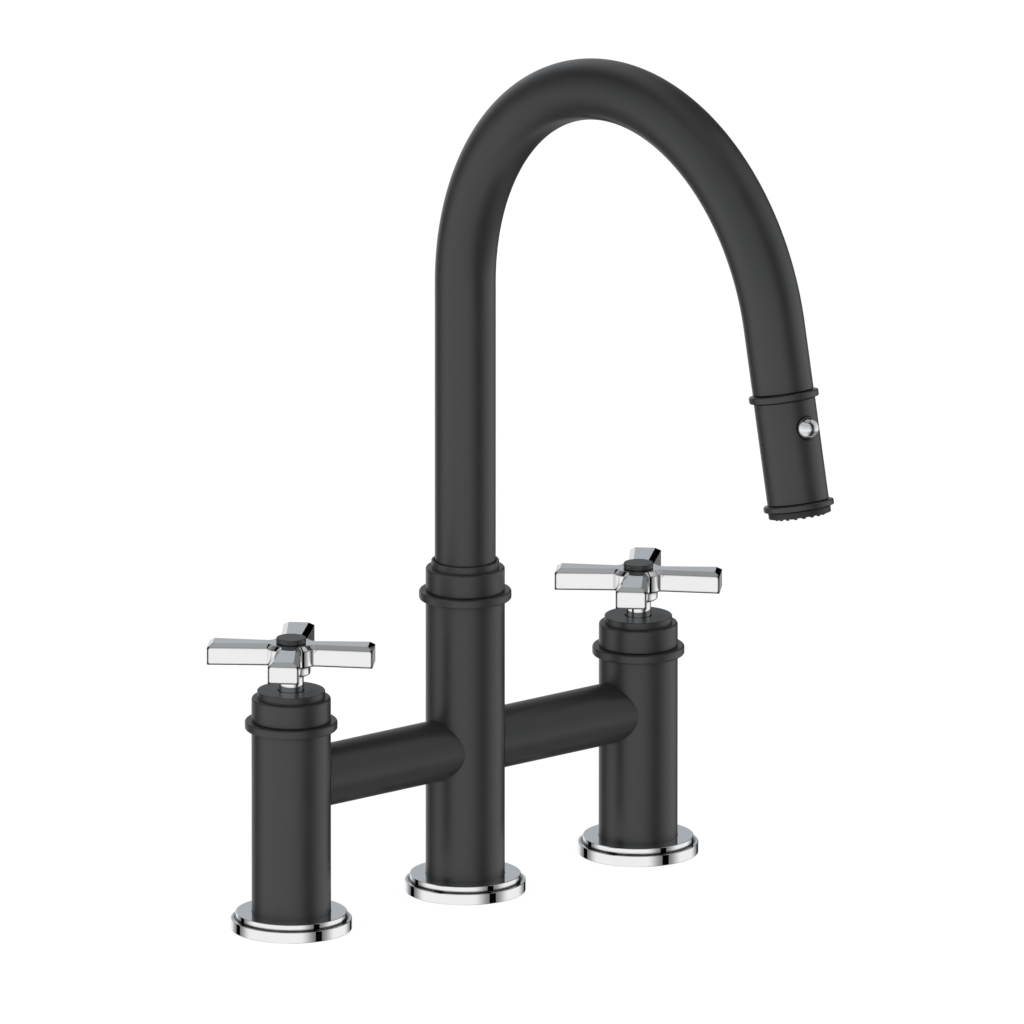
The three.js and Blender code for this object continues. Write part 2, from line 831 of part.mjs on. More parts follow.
function addCenterPost(parent) {
  const post = addPost(parent, 'center', 0, center, [-1, 1], [
    [spoutRadius + runningFit, center.capTop],
    [spoutRadius + runningFit, spoutFoot + fit],
    [bonnetBoreRadius, spoutFoot + fit],
  ]);
  addPiece(post, 'center_foot_bush', 'brass', centerFootBush());
  addPiece(post, 'hose_sleeve', 'brass', hoseSleeve());
  addPiece(post, 'hose_foot_fitting', 'brass', hoseFootFitting());
  addPiece(post, 'upper_swivel_bush', 'plastic', upperSwivelBush());
  addPiece(post, 'lower_swivel_bush', 'plastic', lowerSwivelBush());
}

// ---------------------------------------------------------------------------------------------
// Spout and hose
// ---------------------------------------------------------------------------------------------

function spoutTube() {
  const section = new THREE.Shape(circle(spoutRadius, spoutSides));
  section.holes.push(new THREE.Path(circle(spoutRadius - spoutWall, spoutBoreSides)));
  return sweep(section, new SpoutPath(spoutFoot, spoutDrop), spoutSteps);
}

function sprayHose() {
  const hoseDrop = ferruleTop + ferruleBody - ferruleFloor - fit;
  const path = new SpoutPath(hoseFootHeight, hoseDrop);
  return sweep(new THREE.Shape(circle(hoseRadius, hoseSides)), path, hoseSteps);
}

// ---------------------------------------------------------------------------------------------
// Dock, spray head and mode button. The group's origin is the arch's end, and its -Z runs down
// along the spout's straight end, so a drop d is at height -d.
// ---------------------------------------------------------------------------------------------

const topRingTop = -(spoutDrop + dockGap);
const topRingFoot = topRingTop - topRingHeight;
const shellTop = topRingFoot - headGap;
const shellFoot = shellTop - shellLength;
const bottomRingTop = shellFoot - headGap;
const bottomRingFoot = bottomRingTop - bottomRingHeight;
const faceTop = bottomRingFoot - headGap;
const faceFoot = faceTop - faceHeight;
const neckBore = neckRadius + fit;
const neckFlangeTop = shellTop - shellRoof - headGap;
const neckFlangeFoot = neckFlangeTop - neckFlangeHeight;
const diverterTop = neckFlangeFoot - headGap;
const diverterFoot = diverterTop - diverterLength;
const ferruleFoot = -(ferruleTop + ferruleBody);

function dockBush() {
  return revolve([
    [neckRadius + runningFit, -(spoutDrop - fit)],
    [insertRadius, -(spoutDrop - fit)],
    [insertRadius, -dockTop],
    [dockThroatRadius, -dockTop],
    [dockThroatRadius, -(dockTop + dockThroat)],
    [neckRadius + runningFit, -(dockTop + dockThroat)],
  ], turnedSides);
}

// Crimped on the hose's end; the spray head swivels on its tail.
function hoseFerrule() {
  return revolve([
    [ferruleBoreRadius, ferruleFoot - tailLength],
    [tailRadius, ferruleFoot - tailLength],
    [tailRadius, ferruleFoot],
    [ferruleRadius, ferruleFoot],
    [ferruleRadius, -ferruleTop],
    [hoseRadius + fit, -ferruleTop],
    [hoseRadius + fit, ferruleFoot + ferruleFloor],
    [ferruleBoreRadius, ferruleFoot + ferruleFloor],
  ], innerSides);
}

// Neck that docks in the spout and joins the spray head to the hose's ferrule.
function hoseConnector() {
  const boreFoot = ferruleFoot - fit;
  return revolve([
    [tailRadius + fit, neckFlangeFoot],
    [neckFlangeRadius, neckFlangeFoot],
    [neckFlangeRadius, neckFlangeTop],
    [neckRadius, neckFlangeTop],
    [neckRadius, -neckTop],
    [neckBoreRadius, -neckTop],
    [neckBoreRadius, boreFoot],
    [tailRadius + fit, boreFoot],
  ], turnedSides);
}

function headRing(innerRadius, outerRadius, foot, top) {
  return revolve([
    [innerRadius, foot],
    [outerRadius - headRingEdge, foot],
    [outerRadius, foot + headRingEdge],
    [outerRadius, top - headRingEdge],
    [outerRadius - headRingEdge, top],
    [innerRadius, top],
  ], bodySides);
}

function sprayShell() {
  const shell = revolve([
    [shellRadius - shellWall, shellFoot],
    [shellRadius, shellFoot],
    [shellRadius, shellTop],
    [neckBore, shellTop],
    [neckBore, shellTop - shellRoof],
    [shellRadius - shellWall, shellTop - shellRoof],
  ], bodySides);
  return cut(shell, rodAlongY(ballRadius + runningFit, -2 * shellRadius, 0, -ballDrop, innerSides));
}

function diverterBody() {
  const springFloor = springLength - plungerTip + fit;
  const tailSeat = ferruleFoot - tailLength - fit;
  const body = revolve([
    [plenumRadius, diverterFoot],
    [diverterRadius, diverterFoot],
    [diverterRadius, diverterTop],
    [tailRadius + fit, diverterTop],
    [tailRadius + fit, tailSeat],
    [diverterBoreRadius, tailSeat],
    [diverterBoreRadius, diverterFoot + plenumDepth],
    [plenumRadius, diverterFoot + plenumDepth],
  ], turnedSides);
  const pocketFloor = -(shellRadius - ballInset - ballRadius - ballTravel) + fit;
  const pocket = rodAlongY(ballRadius + runningFit, -shellRadius, pocketFloor, -ballDrop, innerSides);
  const plungerBore = rodAlongY(plungerRadius + fit, -shellRadius, springFloor, -ballDrop, smallSides);
  return cut(body, pocket, plungerBore);
}

// Flush black face, held by its barrel in the bottom ring.
function facePlate() {
  const barrelRadius = shellRadius - shellWall - fit;
  return revolve([
    [0, faceFoot + matRecess],
    [faceRadius - faceRim, faceFoot + matRecess],
    [faceRadius - faceRim, faceFoot],
    [faceRadius, faceFoot],
    [faceRadius, faceTop],
    [barrelRadius, faceTop],
    [barrelRadius, faceTop + faceBarrelLength],
    [0, faceTop + faceBarrelLength],
  ], bodySides);
}

// Rubber mat with its rings of soft nozzles, round a hole for the aerator.
function nozzleMat() {
  const matTop = faceFoot + matRecess - headGap;
  const matFoot = matTop - matHeight;
  const mat = revolve([
    [aeratorRadius + fit, matFoot],
    [faceRadius - faceRim - fit, matFoot],
    [faceRadius - faceRim - fit, matTop],
    [aeratorRadius + fit, matTop],
  ], bodySides);
  const nozzle = revolve([
    [0, matFoot - nozzleHeight],
    [nozzleTipRadius, matFoot - nozzleHeight],
    [nozzleRadius, matFoot + matHeight / 2],
    [0, matFoot + matHeight / 2],
  ], nozzleSides);
  const nozzles = nozzleRings.flatMap(([radius, count]) => circle(radius, count)
    .map((spot) => nozzle.clone().translate(spot.x, spot.y, 0)));
  return join(mat, ...nozzles);
}

function aerator() {
  const top = faceFoot + matRecess - headGap;
  return revolve([
    [0, top - aeratorHeight],
    [aeratorRadius - aeratorEdge, top - aeratorHeight],
    [aeratorRadius, top - aeratorHeight + aeratorEdge],
    [aeratorRadius, top],
    [0, top],
  ], innerSides);
}

function modeButton() {
  const centre = -(shellRadius - ballInset);
  const ball = new THREE.SphereGeometry(ballRadius, innerSides, smallSides)
    .translate(0, centre, -ballDrop);
  return join(ball, rodAlongY(plungerRadius, centre, -plungerTip, -ballDrop, smallSides));
}

function buttonSpring() {
  const from = -plungerTip + springWire + fit / 2;
  const to = springLength - plungerTip - springWire;
  const wire = new THREE.Shape(circle(springWire, wireSides));
  return sweep(wire, new SpringPath(from, to, -ballDrop), wireSteps * springTurns);
}

function addSprayHead(parent) {
  const head = new THREE.Group();
  const archEnd = new SpoutPath(spoutFoot, 0).getPoint(1);
  head.position.copy(archEnd);
  head.rotation.x = headTilt;
  parent.add(head);
  const ringBore = shellRadius - shellWall;
  addPiece(head, 'dock_bush', 'plastic', dockBush());
  addPiece(head, 'hose_ferrule', 'steel', hoseFerrule());
  addPiece(head, 'hose_connector', 'chrome', hoseConnector());
  addPiece(head, 'spray_top_ring', 'satinBlack', headRing(neckBore, topRingRadius, topRingFoot, topRingTop));
  addPiece(head, 'spray_shell', 'satinBlack', sprayShell());
  addPiece(head, 'spray_bottom_ring', 'satinBlack',
    headRing(ringBore, bottomRingRadius, bottomRingFoot, bottomRingTop));
  addPiece(head, 'diverter_body', 'plastic', diverterBody());
  addPiece(head, 'spray_face', 'plastic', facePlate());
  addPiece(head, 'nozzle_mat', 'rubber', nozzleMat());
  addPiece(head, 'aerator', 'plastic', aerator());
  addPiece(head, 'mode_button', 'chrome', modeButton());
  addPiece(head, 'button_spring', 'steel', buttonSpring());
}

// ---------------------------------------------------------------------------------------------
// The faucet
// ---------------------------------------------------------------------------------------------

const faucet = new THREE.Group();
addSidePost(faucet, 'hot', -1);
addSidePost(faucet, 'cold', 1);
addCenterPost(faucet);
addPiece(faucet, 'hot_bridge_tube', 'satinBlack', bridgeTube(-1));
addPiece(faucet, 'cold_bridge_tube', 'satinBlack', bridgeTube(1));
addPiece(faucet, 'spout_tube', 'satinBlack', spoutTube());
addPiece(faucet, 'spout_spigot', 'brass', spoutSpigot());
addPiece(faucet, 'lower_o_ring', 'rubber', spoutORing(ringHeights[0]));
addPiece(faucet, 'upper_o_ring', 'rubber', spoutORing(ringHeights[1]));
addPiece(faucet, 'spout_retaining_ring', 'steel', retainingRing());
addPiece(faucet, 'spray_hose', 'braid', sprayHose());
addSprayHead(faucet);

export default faucet;
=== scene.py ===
# Looks of the bridge kitchen faucet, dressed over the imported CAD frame.
# Shapes are worked out in millimetres along the frame's axes, and MM turns them into metres.

import json
import math

import bpy
import numpy as np
from mathutils import Matrix, Quaternion, Vector


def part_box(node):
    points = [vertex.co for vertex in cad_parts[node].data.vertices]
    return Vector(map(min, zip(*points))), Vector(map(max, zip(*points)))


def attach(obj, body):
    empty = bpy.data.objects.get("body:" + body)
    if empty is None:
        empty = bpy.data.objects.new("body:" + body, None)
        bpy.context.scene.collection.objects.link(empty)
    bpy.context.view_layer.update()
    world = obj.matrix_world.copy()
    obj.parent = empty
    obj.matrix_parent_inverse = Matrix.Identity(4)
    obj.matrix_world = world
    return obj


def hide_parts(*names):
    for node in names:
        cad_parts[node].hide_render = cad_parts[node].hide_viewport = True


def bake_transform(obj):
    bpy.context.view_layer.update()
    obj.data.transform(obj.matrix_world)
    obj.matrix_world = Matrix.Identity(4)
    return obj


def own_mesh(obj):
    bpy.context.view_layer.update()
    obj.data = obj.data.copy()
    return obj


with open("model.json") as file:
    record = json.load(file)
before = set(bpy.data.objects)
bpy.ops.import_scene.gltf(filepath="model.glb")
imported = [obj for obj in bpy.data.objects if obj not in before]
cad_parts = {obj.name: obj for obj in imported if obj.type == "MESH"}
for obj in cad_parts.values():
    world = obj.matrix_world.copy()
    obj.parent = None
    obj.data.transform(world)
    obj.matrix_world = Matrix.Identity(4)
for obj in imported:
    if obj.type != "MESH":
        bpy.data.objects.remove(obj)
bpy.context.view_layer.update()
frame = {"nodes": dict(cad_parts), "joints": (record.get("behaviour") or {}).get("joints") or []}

MM = 0.001

# ---------------------------------------------------------------------------------------------
# Camera: nearly parallel, as in the photograph
# ---------------------------------------------------------------------------------------------

CAMERA_AZIMUTH = math.radians(-40)
CAMERA_ELEVATION = math.radians(15)
LENS = 1650                   # millimetres
CAMERA_SPOT = Vector((0.11847, 0.15339, 21.1732))  # rightwards, upwards and back, in metres
CAMERA_LEAN = Vector((0.000798, 0.004611, 0.001560))  # radians about the same three directions

SIDEWAYS = Vector((math.cos(CAMERA_AZIMUTH), math.sin(CAMERA_AZIMUTH), 0))
TOWARDS = Vector((math.sin(CAMERA_AZIMUTH), -math.cos(CAMERA_AZIMUTH), 0))
BACK = TOWARDS * math.cos(CAMERA_ELEVATION) + Vector((0, 0, math.sin(CAMERA_ELEVATION)))
UPWARDS = BACK.cross(SIDEWAYS)


def add_camera():
    data = bpy.data.cameras.new("camera")
    data.lens = LENS
    camera = bpy.data.objects.new("camera", data)
    bpy.context.scene.collection.objects.link(camera)
    square = Matrix((SIDEWAYS, UPWARDS, BACK)).transposed()
    camera.location = square @ CAMERA_SPOT
    camera.rotation_mode = "QUATERNION"
    lean = Quaternion(CAMERA_LEAN.normalized(), CAMERA_LEAN.length)
    camera.rotation_quaternion = square.to_quaternion() @ lean
    data.clip_end = 2 * CAMERA_SPOT.z
    bpy.context.scene.camera = camera


# ---------------------------------------------------------------------------------------------
# Node trees
# ---------------------------------------------------------------------------------------------


def add_node(tree, kind, inputs=(), **settings):
    """A node with its settings, and inputs given as {socket: value or another node's output}."""
    node = tree.nodes.new(kind)
    for name, value in settings.items():
        setattr(node, name, value)
    for socket, value in dict(inputs).items():
        if isinstance(value, bpy.types.NodeSocket):
            tree.links.new(value, node.inputs[socket])
        else:
            node.inputs[socket].default_value = value
    return node


def calculate(tree, operation, *values):
    """The output of one Math node."""
    return add_node(tree, "ShaderNodeMath", enumerate(values), operation=operation).outputs[0]


def along(tree, vector, direction):
    """How far a vector reaches along a fixed direction."""
    inputs = {0: vector, 1: direction}
    return add_node(tree, "ShaderNodeVectorMath", inputs, operation="DOT_PRODUCT").outputs["Value"]


def remap(tree, value, low, high, to_low, to_high, smooth=False):
    inputs = {"Value": value, "From Min": low, "From Max": high, "To Min": to_low, "To Max": to_high}
    kind = "SMOOTHSTEP" if smooth else "LINEAR"
    return add_node(tree, "ShaderNodeMapRange", inputs, interpolation_type=kind).outputs["Result"]


def ramp(tree, value, stops, interpolation="LINEAR"):
    """A colour ramp; stops are (place from 0 to 1, grey level or colour)."""
    node = add_node(tree, "ShaderNodeValToRGB", {"Fac": value})
    elements = node.color_ramp.elements
    node.color_ramp.interpolation = interpolation
    while len(elements) < len(stops):
        elements.new(1)
    for element, (place, level) in zip(elements, stops):
        colour = (level,) * 3 if isinstance(level, (int, float)) else level
        element.position = place
        element.color = (*colour, 1)
    return node.outputs["Color"]


def noise(tree, scale, detail=2, stretch=(1, 1, 1)):
    """Noise over an object's own coordinates; scale is features a metre."""
    place = add_node(tree, "ShaderNodeTexCoord").outputs["Object"]
    mapping = add_node(tree, "ShaderNodeMapping", {"Vector": place, "Scale": stretch})
    inputs = {"Vector": mapping.outputs["Vector"], "Scale": scale, "Detail": detail}
    return add_node(tree, "ShaderNodeTexNoise", inputs).outputs["Fac"]


def bump(tree, height, depth):
    """A surface normal from a height of 0 to 1; depth is in metres."""
    inputs = {"Height": height, "Distance": depth, "Strength": 1}
    return add_node(tree, "ShaderNodeBump", inputs).outputs["Normal"]


# ---------------------------------------------------------------------------------------------
# Finishes
# ---------------------------------------------------------------------------------------------

# Share of free room round a point, and how much of the colour it keeps under the painted shade.
CORNER_SHADES = [(0.62, 0.02), (0.76, 1)]
EDGE_SHADES = [(0.74, 0.03), (0.93, 1)]
# How far round a point that room is looked for by the painted shade, in metres.
CORNER_REACH = 3 * MM
HANDLE_CORNER_REACH = 5.5 * MM
HANDLE_EDGE_REACH = 1.25 * MM
NOZZLE_CORNER_REACH = 1.5 * MM
ROOM_SAMPLES = 16
DRIFT_LOW, DRIFT_HIGH = 0.3, 0.7  # the part of the noise's range that a finish drifts over


def new_finish(name, **sockets):
    """A material, its tree and its shader, with the plain sockets set."""
    material = bpy.data.materials.new(name)
    material.use_nodes = True
    shader = material.node_tree.nodes["Principled BSDF"]
    for socket, value in sockets.items():
        shader.inputs[socket.replace("_", " ")].default_value = value
    return material, material.node_tree, shader


def grained(name, dark, light, roughness, cloud, grain, depth, stretch=(1, 1, 1), **sockets):
    """A finish whose colour and roughness drift over soft clouds, with a fine surface grain.

    roughness is a (lowest, highest) pair, cloud and grain are features a metre, and depth is
    the grain's height in metres.
    """
    material, tree, shader = new_finish(name, **sockets)
    drift = noise(tree, cloud, detail=3, stretch=stretch)
    colour = ramp(tree, drift, [(DRIFT_LOW, dark), (DRIFT_HIGH, light)])
    tree.links.new(colour, shader.inputs["Base Color"])
    gloss = remap(tree, drift, DRIFT_LOW, DRIFT_HIGH, *roughness)
    tree.links.new(gloss, shader.inputs["Roughness"])
    fine = noise(tree, grain, detail=2, stretch=stretch)
    tree.links.new(bump(tree, fine, depth), shader.inputs["Normal"])
    return material


def paint_shade(material, reach, shades, inside=False):
    """Paints shade into the colour: dims it in inner corners, or along outer edges where inside is set.

    Polished metal looks dark there, as it mostly shows itself, and this shade is painted into its
    colour.
    """
    tree = material.node_tree
    base = tree.nodes["Principled BSDF"].inputs["Base Color"]
    openness = add_node(tree, "ShaderNodeAmbientOcclusion", {"Distance": reach}, only_local=True,
                        samples=ROOM_SAMPLES, inside=inside).outputs["AO"]
    # Sockets 0, 6 and 7 are the factor and the two colours.
    inputs = {0: 1.0, 6: base.links[0].from_socket, 7: ramp(tree, openness, shades)}
    mix = add_node(tree, "ShaderNodeMix", inputs, data_type="RGBA", blend_type="MULTIPLY")
    tree.links.new(mix.outputs[2], base)


def braided(name):
    """Over-and-under strands wound both ways round the hose, in step with its straight end."""
    material, tree, shader = new_finish(name, Metallic=0.6)
    place = add_node(tree, "ShaderNodeTexCoord").outputs["Object"]
    drop = along(tree, place, HEAD_DOWN)
    outward = along(tree, place, HEAD_OUT)
    axis_offset = HEAD_PLACE.translation.dot(HEAD_OUT) * MM
    sideways = along(tree, place, (1, 0, 0))
    angle = calculate(tree, "ARCTAN2", sideways, calculate(tree, "SUBTRACT", outward, axis_offset))
    turns = calculate(tree, "MULTIPLY", angle, BRAID_STRANDS)
    climb = calculate(tree, "MULTIPLY", drop, BRAID_STRANDS / (BRAID_PITCH * HOSE_RADIUS * MM))
    right = calculate(tree, "SINE", calculate(tree, "ADD", turns, climb))
    left = calculate(tree, "SINE", calculate(tree, "SUBTRACT", turns, climb))
    height = remap(tree, calculate(tree, "MULTIPLY", right, left), -1, 1, 0, 1)
    tree.links.new(ramp(tree, height, BRAID_COLOURS), shader.inputs["Base Color"])
    tree.links.new(remap(tree, height, 0, 1, *BRAID_ROUGHNESS), shader.inputs["Roughness"])
    tree.links.new(bump(tree, height, BRAID_DEPTH * MM), shader.inputs["Normal"])
    return material


# ---------------------------------------------------------------------------------------------
# Surfaces: every one is a run of rings, each point with its exact normal
# ---------------------------------------------------------------------------------------------

SIDES = 128                   # round a wide turned piece
MIDDLE_SIDES = 96
SMALL_SIDES = 48
EDGE = 0.25                   # rounding of a plain edge
FINE_EDGE = 0.1
SHARP_EDGE = 0.02
ARC_STEPS = 4                 # in one rounded corner
LARGEST_CUT = 0.45            # of the shorter side that a rounded corner may take up
RUN_STEP = 40                 # between points along a long straight run
STRAIGHT = 1e-4               # a turn below this, in radians, is no corner
LEAST_CUT = 1e-6


class Surface:
    """Points, normals and faces of one or more closed forms."""

    def __init__(self):
        self.points = np.zeros((0, 3))
        self.normals = np.zeros((0, 3))
        self.faces = []

    def add(self, points, normals, faces):
        first = len(self.points)
        self.points = np.vstack([self.points, np.reshape(points, (-1, 3))])
        self.normals = np.vstack([self.normals, np.reshape(normals, (-1, 3))])
        self.faces += [[first + i for i in face] for face in faces]
        return self

    def join(self, other):
        return self.add(other.points, other.normals, other.faces)

    def placed(self, place):
        """The surface moved by a matrix."""
        turn = np.array(place.to_3x3())
        self.points = self.points @ turn.T + np.array(place.translation)
        self.normals = self.normals @ turn.T
        return self


def skin(rings, normals, closed, caps=(False, False)):
    """Quads between neighbouring rings of equal length, and a flat cap on each open end."""
    count, length = len(rings), len(rings[0])
    faces = []
    for ring in range(count if closed else count - 1):
        low, high = ring * length, (ring + 1) % count * length
        for i in range(length):
            after = (i + 1) % length
            faces.append([low + i, low + after, high + after, high + i])
    if caps[0]:
        faces.append(list(range(length))[::-1])
    if caps[1]:
        faces.append([(count - 1) * length + i for i in range(length)])
    return Surface().add(np.array(rings), np.array(normals), faces)


def rounded(corners, edge=EDGE, step=None):
    """Points and outward normals along a profile whose corners are rounded.

    corners are [across, up] or [across, up, rounding], anticlockwise. A profile that starts on
    the axis is open; any other one is closed. Straight runs are split where step is given.
    """
    spots = [Vector(corner[:2]) for corner in corners]
    sizes = [corner[2] if len(corner) > 2 else edge for corner in corners]
    is_open = spots[0].x == 0
    count = len(spots)
    found = []
    for i, spot in enumerate(spots):
        if is_open and i in (0, count - 1):
            continue
        arriving = spot - spots[i - 1]
        leaving = spots[(i + 1) % count] - spot
        room = LARGEST_CUT * min(arriving.length, leaving.length)
        arriving.normalize()
        leaving.normalize()
        turn = math.atan2(arriving.cross(leaving), arriving.dot(leaving))
        cut = min(abs(sizes[i] * math.tan(turn / 2)), room)
        normal = Vector((arriving.y, -arriving.x))
        if abs(turn) < STRAIGHT or cut < LEAST_CUT:
            found.append((spot, (normal + Vector((leaving.y, -leaving.x))).normalized()))
            continue
        radius = cut / abs(math.tan(turn / 2))
        bulge = math.copysign(radius, turn)
        centre = spot - arriving * cut - normal * bulge
        for k in range(ARC_STEPS + 1):
            angle = turn * k / ARC_STEPS
            facing = Matrix.Rotation(angle, 2) @ normal
            found.append((centre + facing * bulge, facing))
    if step:
        found = split_runs(found, step, not is_open)
    return found, is_open


def split_runs(profile, step, closed):
    """The same profile with more points along its long runs."""
    found = []
    for i, (spot, normal) in enumerate(profile):
        found.append((spot, normal))
        if i + 1 == len(profile) and not closed:
            break
        after, after_normal = profile[(i + 1) % len(profile)]
        parts = int((after - spot).length / step)
        for k in range(1, parts):
            share = k / parts
            found.append((spot.lerp(after, share), normal.lerp(after_normal, share).normalized()))
    return found


def turned(corners, edge=EDGE, sides=SIDES, line=None, step=None):
    """A turned surface about Z, or about a bent line given as height -> (centre, direction)."""
    profile, is_open = rounded(corners, edge, step)
    angles = np.linspace(0, 2 * math.pi, sides, endpoint=False)
    rings, normals = [], []
    for spot, facing in profile:
        centre, direction = line(spot.y) if line else (Vector((0, 0, spot.y)), Vector((0, 0, 1)))
        side = np.array((1, 0, 0))
        other = np.array(direction.cross(Vector((1, 0, 0))))
        spokes = np.outer(np.cos(angles), side) + np.outer(np.sin(angles), other)
        rings.append(np.array(centre) + spot.x * spokes)
        normals.append(facing.x * spokes + facing.y * np.array(direction))
    return skin(rings, normals, closed=not is_open, caps=(is_open, is_open))


def lofted(corners, outline, edge=EDGE):
    """An upright form whose plan is outline(reach) -> (points, normals), for an open profile."""
    profile, _ = rounded(corners, edge)
    rings, normals = [], []
    for spot, facing in profile:
        plan, out = outline(spot.x)
        rings.append([(x, y, spot.y) for x, y in plan])
        normals.append([(facing.x * x, facing.x * y, facing.y) for x, y in out])
    return skin(rings, normals, closed=False, caps=(True, True))


# ---------------------------------------------------------------------------------------------
# Pieces on the frame
# ---------------------------------------------------------------------------------------------


def add_piece(name, surface, finish, body, nodes):
    """One visible piece that stands for the CAD nodes, and rides on its body if it has one."""
    mesh = bpy.data.meshes.new(name)
    mesh.from_pydata((surface.points * MM).tolist(), [], surface.faces)
    mesh.polygons.foreach_set("use_smooth", [True] * len(mesh.polygons))
    mesh.normals_split_custom_set_from_vertices(surface.normals.tolist())
    mesh.materials.append(finish)
    piece = bpy.data.objects.new(name, mesh)
    bpy.context.scene.collection.objects.link(piece)
    if body:
        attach(piece, body)
    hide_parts(*nodes)
    return piece


def extent(node, place=Matrix()):
    """Radius, foot and top of a turned CAD node, measured in a place's own axes."""
    mesh = frame["nodes"][node].data
    points = np.zeros(3 * len(mesh.vertices))
    mesh.vertices.foreach_get("co", points)
    back = np.array(place.inverted())
    points = points.reshape(-1, 3) / MM @ back[:3, :3].T + back[:3, 3]
    return np.ptp(points[:, 1]) / 2, points[:, 2].min(), points[:, 2].max()


# ---------------------------------------------------------------------------------------------
# Shared sizes, in millimetres, and the line of the spout
# ---------------------------------------------------------------------------------------------

FIT = 0.3                     # clearance between pieces that slip into each other
SEAM = 0.15                   # dark line between pieces that meet
INSIDE = 0.09                 # keeps a smooth bend inside the box of its faceted CAD node
SPOUT_WALL = 1.4
ARCH_HEIGHT = 283.12
ARCH_RADIUS = 109.18
SPOUT_STEP = 2.5              # between rings along the spout and the hose
HOSE_RADIUS = 5.8
HOSE_FOOT = 6.3
BRAID_STRANDS = 12
BRAID_PITCH = 2.4             # how far a strand climbs in one radian, in hose radii
BRAID_DEPTH = 0.35
BRAID_COLOURS = [(0.15, 0.02), (0.45, 0.12), (0.8, 0.42)]
BRAID_ROUGHNESS = (0.55, 0.32)  # between strands and on them

JOINTS = {joint["name"]: joint for joint in frame["joints"]}
HEAD_DOWN = Vector(JOINTS["spray_pull"]["axis"])
HEAD_TILT = math.asin(HEAD_DOWN.y)
ARCH_SWEEP = math.pi + HEAD_TILT


def spout_line(distance):
    """Centre and direction of the gooseneck's line, this far along it from the deck."""
    if distance < ARCH_HEIGHT:
        return Vector((0, 0, distance)), Vector((0, 0, 1))
    turn = min((distance - ARCH_HEIGHT) / ARCH_RADIUS, ARCH_SWEEP)
    past = max(distance - ARCH_HEIGHT - ARCH_RADIUS * ARCH_SWEEP, 0)
    direction = Vector((0, -math.sin(turn), math.cos(turn)))
    corner = Vector((0, ARCH_RADIUS * (math.cos(turn) - 1), ARCH_HEIGHT + ARCH_RADIUS * math.sin(turn)))
    return corner + direction * past, direction


ARCH_END = ARCH_HEIGHT + ARCH_RADIUS * ARCH_SWEEP
HEAD_PLACE = Matrix.Translation(spout_line(ARCH_END)[0]) @ Matrix.Rotation(HEAD_TILT, 4, "X")
HEAD_OUT = HEAD_PLACE.to_3x3() @ Vector((0, -1, 0))

satin_black = grained("satin_black", 0.016, 0.019, (0.35, 0.39), 60, 9000, 0.0016 * MM,
                      Specular_IOR_Level=0.8)
chrome = grained("chrome", 0.90, 0.93, (0.035, 0.06), 80, 2500, 0.00006 * MM, Metallic=1)
# Painted shade: chrome is dimmed in its inner corners, and the handle's copy is dimmed wider in its
# corners and along its outer edges as dark lines.
shaded_handle_chrome = chrome.copy()
paint_shade(chrome, CORNER_REACH, CORNER_SHADES)
paint_shade(shaded_handle_chrome, HANDLE_CORNER_REACH, CORNER_SHADES)
paint_shade(shaded_handle_chrome, HANDLE_EDGE_REACH, EDGE_SHADES, inside=True)
BRASS_DARK, BRASS_LIGHT = (0.60, 0.40, 0.16), (0.72, 0.50, 0.22)
brass = grained("brass", BRASS_DARK, BRASS_LIGHT, (0.22, 0.34), 120, 4000, 0.004 * MM,
                stretch=(1, 1, 12), Metallic=1)
ceramic = grained("ceramic", 0.78, 0.84, (0.18, 0.26), 200, 8000, 0.001 * MM)
nozzle_rubber = grained("nozzle_rubber", 0.045, 0.06, (0.5, 0.6), 300, 6000, 0.01 * MM)
# Painted shade: dark rings round the nozzles' feet and in their bores.
paint_shade(nozzle_rubber, NOZZLE_CORNER_REACH, CORNER_SHADES)
rubber = grained("rubber", 0.012, 0.02, (0.6, 0.75), 300, 6000, 0.01 * MM)
plastic = grained("plastic", 0.014, 0.02, (0.42, 0.52), 200, 8000, 0.006 * MM)
steel = grained("steel", 0.48, 0.56, (0.2, 0.34), 150, 5000, 0.003 * MM,
                stretch=(1, 1, 14), Metallic=1)
braid = braided("braid")

FINISHES = {"satin_black": satin_black, "chrome": chrome, "brass": brass, "ceramic": ceramic,
            "rubber": rubber, "plastic": plastic, "steel": steel, "braid": braid}


def finish_inner_nodes():
    """Every CAD node that stays in view takes the finish of its own slot."""
    for node in frame["nodes"].values():
        slot = node.data.materials[0].name.split(".")[0]
        node.data.materials.clear()
        node.data.materials.append(FINISHES[slot])


# ---------------------------------------------------------------------------------------------
# Posts
# ---------------------------------------------------------------------------------------------

FLANGE_RIM = 5
FLANGE_STEP_RADIUS = 25.1
FLANGE_EDGE = 0.35
COLLAR_EDGE = 0.9
GROOVE = 0.6                  # how deep a seam goes
BONNET_EDGE = 1
CAP_RADIUS = 15.3
CAP_HEIGHT = 3.2
CAP_EDGE = 0.35
CAP_FOOT_EDGE = 0.15
SKIRT_HOLE_RADIUS = 6.1
SKIRT_WELL = 3                # how far down one sees into a bonnet's hole


def post_place(prefix):
    low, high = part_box(f"{prefix}_column")
    return Matrix.Translation(((low.x + high.x) / 2 / MM, 0, 0))


